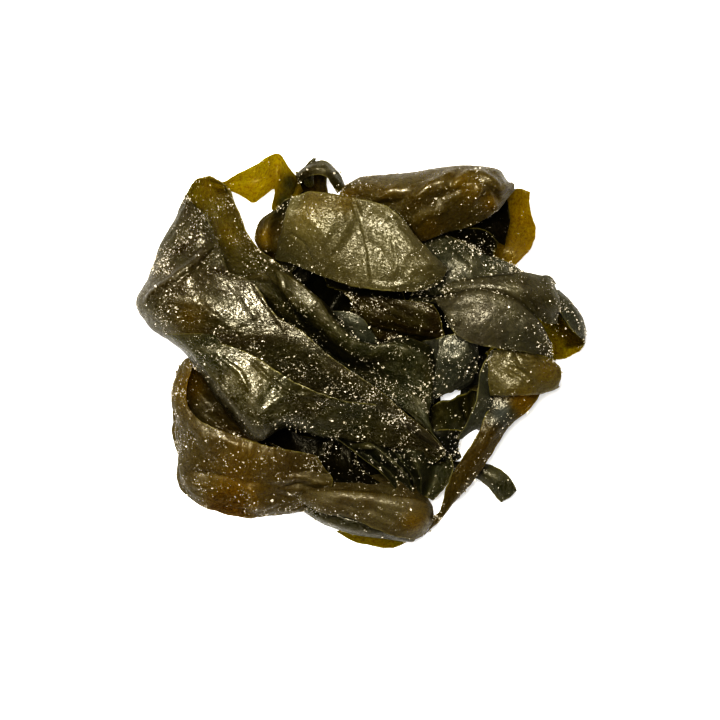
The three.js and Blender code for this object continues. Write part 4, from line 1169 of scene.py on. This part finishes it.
def kelp_material(name, shade, gloss):
    """Leathery olive-brown blade: dark where it lies double, amber where light comes through a single one.
    That amber is also painted into its colour as a painted glow, and shade mixes it towards black as painted
    shade.
    """
    m = Nodes(name)
    lay = m.stored("lay", "Vector")
    green, pale, bloom_and_sheen = m.three("tint")
    depth, matt, slate_and_sheen = m.three("finish")
    clear = m.stored("clear")

    # patches of colour, a few to a few tens of millimetres wide
    broad = m.noise(lay, 42.0, 3.0, 0.6)
    patch = m.noise(lay, 160.0, 4.0, 0.6)
    fleck = m.noise(lay, 900.0, 3.0, 0.6)
    greener = m.plus(green, m.mapped(broad, 0.35, 0.65, -0.25, 0.25), clamp=True)
    base = m.mix(greener, BROWN, OLIVE)
    base = m.mix(m.mapped(patch, 0.35, 0.7, 0.0, 0.55), base, LIGHT_PATCH)
    base = m.mix(m.mapped(fleck, 0.3, 0.75, 0.0, 0.35), base, DARK_FLECK)
    # pale: the bleached tone, and in part a painted highlight
    base = m.mix(pale, base, BLEACHED_AND_HIGHLIGHT)
    # painted sheen: blue-grey that stands in for a neutral sheen, over the blade's own tone
    base = m.mix(slate_and_sheen, base, SLATE_AND_SHEEN)
    # painted glow: where light comes through, the blade's own colour is made amber too
    base = m.mix(m.mapped(clear, 0.1, 0.8, 0.0, 0.7), base, PAINTED_GLOW)
    # painted shade: a skin's shade mixes its colour towards black
    base = m.mix(shade, base, PAINTED_SHADE_BLACK)

    # the thin margin is a clear yellow-green line, up to 0.6 mm wide and broken here and there
    line = m.mapped(m.stored("edge"), 0.15, 0.6, 0.6, 0.0)
    base = m.mix(m.times(line, m.mapped(patch, 0.4, 0.6, 0.1, 1.0)), base, RIM)

    # a powdery bloom dries out of the blade in clouds, which also paint a grey sheen, and salt dust lies in
    # specks too fine to model
    bloom_and_sheen_clouds = m.times(m.mapped(m.noise(lay, 95.0, 5.0, 0.65), 0.5, 0.75, 0.0, 0.25), bloom_and_sheen)
    base = m.mix(bloom_and_sheen_clouds, base, BLOOM_AND_SHEEN)
    specks = m.add("ShaderNodeTexVoronoi", {"Vector": lay, "Scale": 1150.0, "Randomness": 1.0})
    near = m.mapped(specks.outputs["Distance"], 0.13, 0.24, 1.0, 0.0)
    dusty = m.mapped(m.noise(lay, 260.0, 4.0, 0.7), 0.53, 0.6)
    draw = m.add("ShaderNodeSeparateColor", {"Color": specks.outputs["Color"]}).outputs[0]
    some = m.mapped(draw, 0.55, 0.6)
    dust = m.times(m.times(near, dusty), m.times(some, bloom_and_sheen), clamp=True)
    base = m.mix(dust, base, DUST)

    # leathery grain: long fine wrinkles that cross a net of sharp short ones, and ripples
    streaks = m.folded(m.noise(m.scaled(lay, (520.0, 1300.0, 520.0)), 1.0, 2.0, 0.5, 0.6))
    net = m.folded(m.noise(lay, 1050.0, 2.0, 0.5, 0.5))
    ripples = m.noise(m.scaled(lay, (900.0, 1800.0, 900.0)), 1.0, 2.0, 0.5, 0.3)
    cracks = m.math("MAXIMUM", m.mapped(streaks, 0.0, 0.04, 1.0, 0.0), m.mapped(net, 0.0, 0.035, 0.8, 0.0))
    grain = m.times(m.plus(m.times(cracks, -0.8), m.times(ripples, 1.1)), depth)
    relief = m.bump(grain)

    rough = m.mapped(patch, 0.3, 0.7, 0.2, 0.3)
    for cause, more in ((matt, 0.35), (bloom_and_sheen_clouds, 0.35), (cracks, 0.35), (dust, 0.3)):
        rough = m.plus(rough, m.times(cause, more), clamp=True)
    skin = m.add("ShaderNodeBsdfPrincipled", {"Base Color": base, "Roughness": rough, "Normal": relief})
    skin.inputs["IOR"].default_value = 1.55
    skin.inputs["Specular IOR Level"].default_value = gloss
    skin.inputs["Specular Tint"].default_value = (1.0, 0.94, 0.76, 1)

    # light that comes through, where no bloom, painted sheen or dust covers the blade
    light = m.mix(greener, AMBER_LIGHT, LEAF_LIGHT)
    light = m.mix(m.mapped(patch, 0.3, 0.75, 0.0, 0.45), light, PATCH_LIGHT)
    light = m.mix(m.mapped(fleck, 0.42, 0.7, 0.0, 0.75), light, FLECK_LIGHT)
    light = m.mix(m.times(cracks, 0.4), light, CRACK_LIGHT)
    behind = m.add("ShaderNodeBsdfTranslucent", {"Color": light, "Normal": relief})
    bare = m.math("SUBTRACT", 1.0, m.plus(dust, bloom_and_sheen_clouds, clamp=True), clamp=True)
    shaders = {0: m.times(clear, bare), 1: skin.outputs[0], 2: behind.outputs[0]}
    return m.finished(m.add("ShaderNodeMixShader", shaders))


def salt_material():
    """Milky sea-salt crystals, some whiter than others."""
    m = Nodes("sea_salt")
    place = m.add("ShaderNodeNewGeometry").outputs["Position"]
    shade = m.noise(place, 700.0, 2.0, 0.5)
    colour = m.mix(m.mapped(shade, 0.35, 0.65), *SALT_SHADES)
    relief = m.bump(m.noise(place, 5200.0), 0.5)
    inputs = {"Base Color": colour, "Roughness": m.mapped(shade, 0.3, 0.7, 0.28, 0.5), "Normal": relief}
    return m.finished(m.add("ShaderNodeBsdfPrincipled", inputs))


def floor_material():
    """A pale ground that glows a little, so that it stays white."""
    m = Nodes("pale_floor")
    place = m.add("ShaderNodeNewGeometry").outputs["Position"]
    board = m.add("ShaderNodeBsdfPrincipled", {"Base Color": m.mix(m.noise(place, 3.0), *FLOOR_SHADES)})
    board.inputs["Roughness"].default_value = 0.7
    board.inputs["Emission Color"].default_value = (1, 1, 1, 1)
    board.inputs["Emission Strength"].default_value = FLOOR_GLOW
    return m.finished(board)


# ---------------------------------------------------------------- salt

GRAIN_SITES = 8000
CLUMPING = 0.7  # grains that stick to a first one, on average
CLUMP_REACH = 0.34 * MM
GRAIN_SIZE = 0.225 * MM
GRAIN_SMALLEST = 0.15 * MM
GRAIN_LARGEST = 0.95 * MM
GRAIN_SPREAD = 0.5  # of the logarithm of a grain's size
GRAIN_LIFT = 0.3  # of its size, that its middle lies over the blade
GRAIN_CLEARANCE = 0.02 * MM  # over the table
CRYSTAL_STRETCH = (0.55, 1)  # of a cube, along each of its axes
CORNER_REACH = (0.55, 1.15)  # of the distance from its middle to a corner
CORNER_PUSH = 0.22  # of half its side, that a corner is pushed about by
SALT_DRIFTS = [  # where on the paper it lies thicker, how wide, and how much
    ((162, 265), 34, 3.5), ((166, 320), 22, 2.0), ((486, 268), 30, 1.0), ((385, 385), 34, 1.0),
    ((208, 462), 26, 1.6), ((488, 244), 12, 2.0), ((566, 306), 22, 2.0), ((368, 298), 26, 1.2),
    ((385, 452), 34, 1.0),
]
CLUSTER_SIZE = 9  # mm, of the thicker and thinner places in between
CLUSTER_SHARE = (0.6, 1.1, 0.15, 1.3)  # root of how thick it lies there, see patchy
RIM_SALT = 1.5  # how much more salt sticks to a margin
RIM_WIDTH = 1.5 * MM
STEEP_SALT = 0.35  # what a slope holds beside what falls on it
LEAST_SALT = 0.05  # what is left where it overhangs

SEEN_CELL = 0.8 * MM  # side of the cells in which the foremost point is looked for
SEEN_SLACK = 0.9 * MM  # what lies less than this behind it is seen too
SIDE_VIEWS = 6
FIRST_SIDE_VIEW = 15  # degrees
SIDE_OUT = 0.85  # how far out a side view looks from
SIDE_UP = 0.53  # and how far up
SIDE_SHARE = 0.55  # of the salt lies where only a side view sees it


def seen_from(points, direction):
    """Which points nothing hides when they are looked at along a direction."""
    d = np.asarray(direction, float)
    d = d / np.linalg.norm(d)
    side = np.array([1.0, 0, 0]) if d[2] == 1 else np.cross(d, [0, 0, 1])
    side = side / np.linalg.norm(side)
    cells = np.stack([points @ side, points @ np.cross(d, side)], -1) / SEEN_CELL
    return foremost(cells, points @ d, SEEN_SLACK)


def crystal_shapes(random, count):
    """Irregular crystals: cubes with their corners pushed about, each a closed solid of triangles."""
    corners = np.array([[x, y, z] for x in (-1, 1) for y in (-1, 1) for z in (-1, 1)], float)
    faces = np.array([[0, 1, 3], [0, 3, 2], [4, 6, 7], [4, 7, 5], [0, 4, 5], [0, 5, 1],
                      [2, 3, 7], [2, 7, 6], [0, 2, 6], [0, 6, 4], [1, 5, 7], [1, 7, 3]])
    stretch = random.uniform(*CRYSTAL_STRETCH, (count, 1, 3))
    shapes = corners[None] * stretch * random.uniform(*CORNER_REACH, (count, 8, 1))
    shapes += random.uniform(-CORNER_PUSH, CORNER_PUSH, (count, 8, 3))
    return shapes, faces


def random_turns(random, count):
    """Evenly spread random rotations, as 3 x 3 matrices."""
    q = random.normal(size=(count, 4))
    q /= np.linalg.norm(q, axis=1, keepdims=True)
    w, x, y, z = q.T
    rows = [[1 - 2 * (y * y + z * z), 2 * (x * y - w * z), 2 * (x * z + w * y)],
            [2 * (x * y + w * z), 1 - 2 * (x * x + z * z), 2 * (y * z - w * x)],
            [2 * (x * z - w * y), 2 * (y * z + w * x), 1 - 2 * (x * x + y * y)]]
    return np.moveaxis(np.array(rows), -1, 0)


def salt_sites(random, points, facing, weight):
    """The points that grains lie on: only those that show, more where it clusters or drifts."""
    shown = seen_from(points, (0, 0, 1)).astype(float)
    for k in range(SIDE_VIEWS):
        angle = math.radians(360 / SIDE_VIEWS * k + FIRST_SIDE_VIEW)
        view = (math.cos(angle) * SIDE_OUT, math.sin(angle) * SIDE_OUT, SIDE_UP)
        shown = np.maximum(shown, SIDE_SHARE * seen_from(points, view))
    x, y = (points[:, :2] / MM / CLUSTER_SIZE).T
    clusters = patchy(x, y, 3, CLUSTER_SHARE) ** 2
    drifts = 1 + spotted(points, SALT_DRIFTS)
    chance = shown * weight * drifts * clusters * np.clip(facing[:, 2] + STEEP_SALT, LEAST_SALT, 1)
    sites = random.choice(len(points), GRAIN_SITES, replace=False, p=chance / chance.sum())
    return np.repeat(sites, 1 + random.poisson(CLUMPING, GRAIN_SITES))


def salt_mesh(points, facing, weight):
    """Grains of salt on the points that show, denser where the weight is higher."""
    random = np.random.default_rng(21)
    picked = salt_sites(random, points, facing, weight)
    count = len(picked)
    size = np.exp(random.normal(math.log(GRAIN_SIZE), GRAIN_SPREAD, count))
    size = np.clip(size, GRAIN_SMALLEST, GRAIN_LARGEST)
    sideways = np.cross(facing[picked], random.normal(size=(count, 3)))
    centre = points[picked] + sideways * CLUMP_REACH + facing[picked] * (size * GRAIN_LIFT)[:, None]
    shapes, faces = crystal_shapes(random, count)
    turned = np.einsum("nij,nkj->nki", random_turns(random, count), shapes)
    verts = (centre[:, None] + turned * (size / 2)[:, None, None]).reshape(-1, 3)
    verts[:, 2] = np.maximum(verts[:, 2], GRAIN_CLEARANCE)
    index = (np.arange(count)[:, None, None] * shapes.shape[1] + faces[None]).reshape(-1, 3)
    mesh = bpy.data.meshes.new("salt_grains")
    mesh.from_pydata(verts.tolist(), [], index.tolist())
    mesh.update()
    return mesh


# ---------------------------------------------------------------- the clump

SKINS = {
    "glossy": kelp_material("dried_kelp", 0.0, 0.66),
    "thin": kelp_material("dried_kelp_thin", 0.0, 0.3),  # one dull thickness that light comes through
    "inside": kelp_material("dried_kelp_painted_shade", 0.7, 0.1),  # painted shade: mixed most of the way to black, and dull, for the folds deep in the hollows
}
# The hidden folds get the inside skin's painted shade.
HIDDEN = PLAIN | {"bloom_and_sheen": 0, "clear": 0, "skin": "inside"}
FIRST_HIDDEN = 50  # seed of the first hidden fold


def lay_fold(name, sheet, look, creases, seed):
    """Adds one fold to the clump; gives its upper points, the way they face, and how much salt each draws."""
    grid, s, t = sheet
    n = normals(grid)
    grid = grid + n * (wrinkles(s, t, look, seed) + pressed(grid, n, creases, seed))[..., None]
    n = normals(grid)
    made = piece("kelp_" + name, sheet_mesh("kelp_" + name, grid, n, s, t, look, seed), SKINS[look["skin"]])
    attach(made, "root")
    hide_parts("kelp")
    upward = n * np.where(n[..., 2:] < 0, -1, 1)
    points = grid + upward * (BLADE_THICKNESS / 2)
    weight = look["salt"] * (1 + RIM_SALT * np.exp(-to_margin(s, t) / RIM_WIDTH))
    return points.reshape(-1, 3), upward.reshape(-1, 3), weight.ravel()


salt_bed = []
for number, shape in enumerate(FOLDS):
    sheet = ragged(*lofted(with_underside(shape["ribs"], shape["under"]), GRID), number)
    salt_bed.append(lay_fold(shape["name"], sheet, shape["look"], shape["creases"], number))

for number, shape in enumerate(INNER_FOLDS):
    lay_fold(f"inner_{number + 1}", inner_disc(shape, INNER_GRID), HIDDEN, [], FIRST_HIDDEN + number)

points, facing, weight = (np.concatenate(column) for column in zip(*salt_bed))
salt = piece("salt_grains", salt_mesh(points, facing, weight), salt_material())
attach(salt, "root")

# ---------------------------------------------------------------- floor, light and camera

FLOOR_HALF = 2.5
FLOOR_DROP = 0.02 * MM
LIGHTS = [  # where each hangs, its size, its power in watts and its colour
    ("light_over", (-0.16, 0.2, 1.2), 0.58, 35.5, (1, 0.98, 0.94)),
    ("light_left", (-1.1, 0.35, 0.5), 0.4, 1.5, (1, 0.94, 0.82)),
    ("light_right", (1.0, 0.5, 0.5), 0.4, 1.4, (1, 0.94, 0.82)),
]
LIT_POINT = (0, 0, 0.015)
ROOM_COLOUR = (1.0, 0.82, 0.4, 1)
HORIZON_LIGHT = 0.07
OVERHEAD_LIGHT = 0.01
CAMERA_HEIGHT = 3.0
SENSOR = 36  # mm


def make_floor():
    mesh = bpy.data.meshes.new("floor")
    corners = [(x * FLOOR_HALF, y * FLOOR_HALF, -FLOOR_DROP) for x, y in ((-1, -1), (1, -1), (1, 1), (-1, 1))]
    mesh.from_pydata(corners, [], [(0, 1, 2, 3)])
    piece("floor", mesh, floor_material())


def softbox(name, place, size, watts, colour):
    """A round soft light that faces the clump and isn't seen itself."""
    lamp = bpy.data.lights.new(name, "AREA")
    lamp.shape = "DISK"
    lamp.size = size
    lamp.energy = watts
    lamp.color = colour
    made = bpy.data.objects.new(name, lamp)
    made.location = place
    made.rotation_euler = (Vector(LIT_POINT) - Vector(place)).to_track_quat("-Z", "Y").to_euler()
    made.visible_camera = False
    bpy.context.scene.collection.objects.link(made)


def make_world():
    """A room that is brighter round the horizon than overhead, so that steep places show their gloss."""
    world = bpy.data.worlds.new("studio")
    bpy.context.scene.world = world
    world.use_nodes = True
    tree = world.node_tree
    background = tree.nodes["Background"]
    background.inputs["Color"].default_value = ROOM_COLOUR
    place = tree.nodes.new("ShaderNodeTexCoord")
    parts = tree.nodes.new("ShaderNodeSeparateXYZ")
    ramp = tree.nodes.new("ShaderNodeMapRange")
    ramp.interpolation_type = "SMOOTHSTEP"
    settings = {"From Min": 0.05, "From Max": 0.75, "To Min": HORIZON_LIGHT, "To Max": OVERHEAD_LIGHT}
    for key, value in settings.items():
        ramp.inputs[key].default_value = value
    tree.links.new(place.outputs["Generated"], parts.inputs[0])
    tree.links.new(parts.outputs["Z"], ramp.inputs["Value"])
    tree.links.new(ramp.outputs[0], background.inputs["Strength"])


def make_camera():
    """Looks straight down on the paper and takes in all of it."""
    lens = bpy.data.cameras.new("camera")
    lens.sensor_width = SENSOR
    lens.lens = SENSOR * CAMERA_HEIGHT / (PAPER_SIDE * SQUARE)
    lens.clip_end = 20
    camera = bpy.data.objects.new("camera", lens)
    right, back, _ = on_table(np.array([PAPER_SIDE / 2, PAPER_SIDE / 2, 0.0]))
    camera.location = (right, back, CAMERA_HEIGHT)
    bpy.context.scene.collection.objects.link(camera)
    bpy.context.scene.camera = camera


make_floor()
for light in LIGHTS:
    softbox(*light)
make_world()
make_camera()
bpy.context.scene.view_settings.view_transform = "Standard"
bpy.context.scene.view_settings.look = "Very High Contrast"
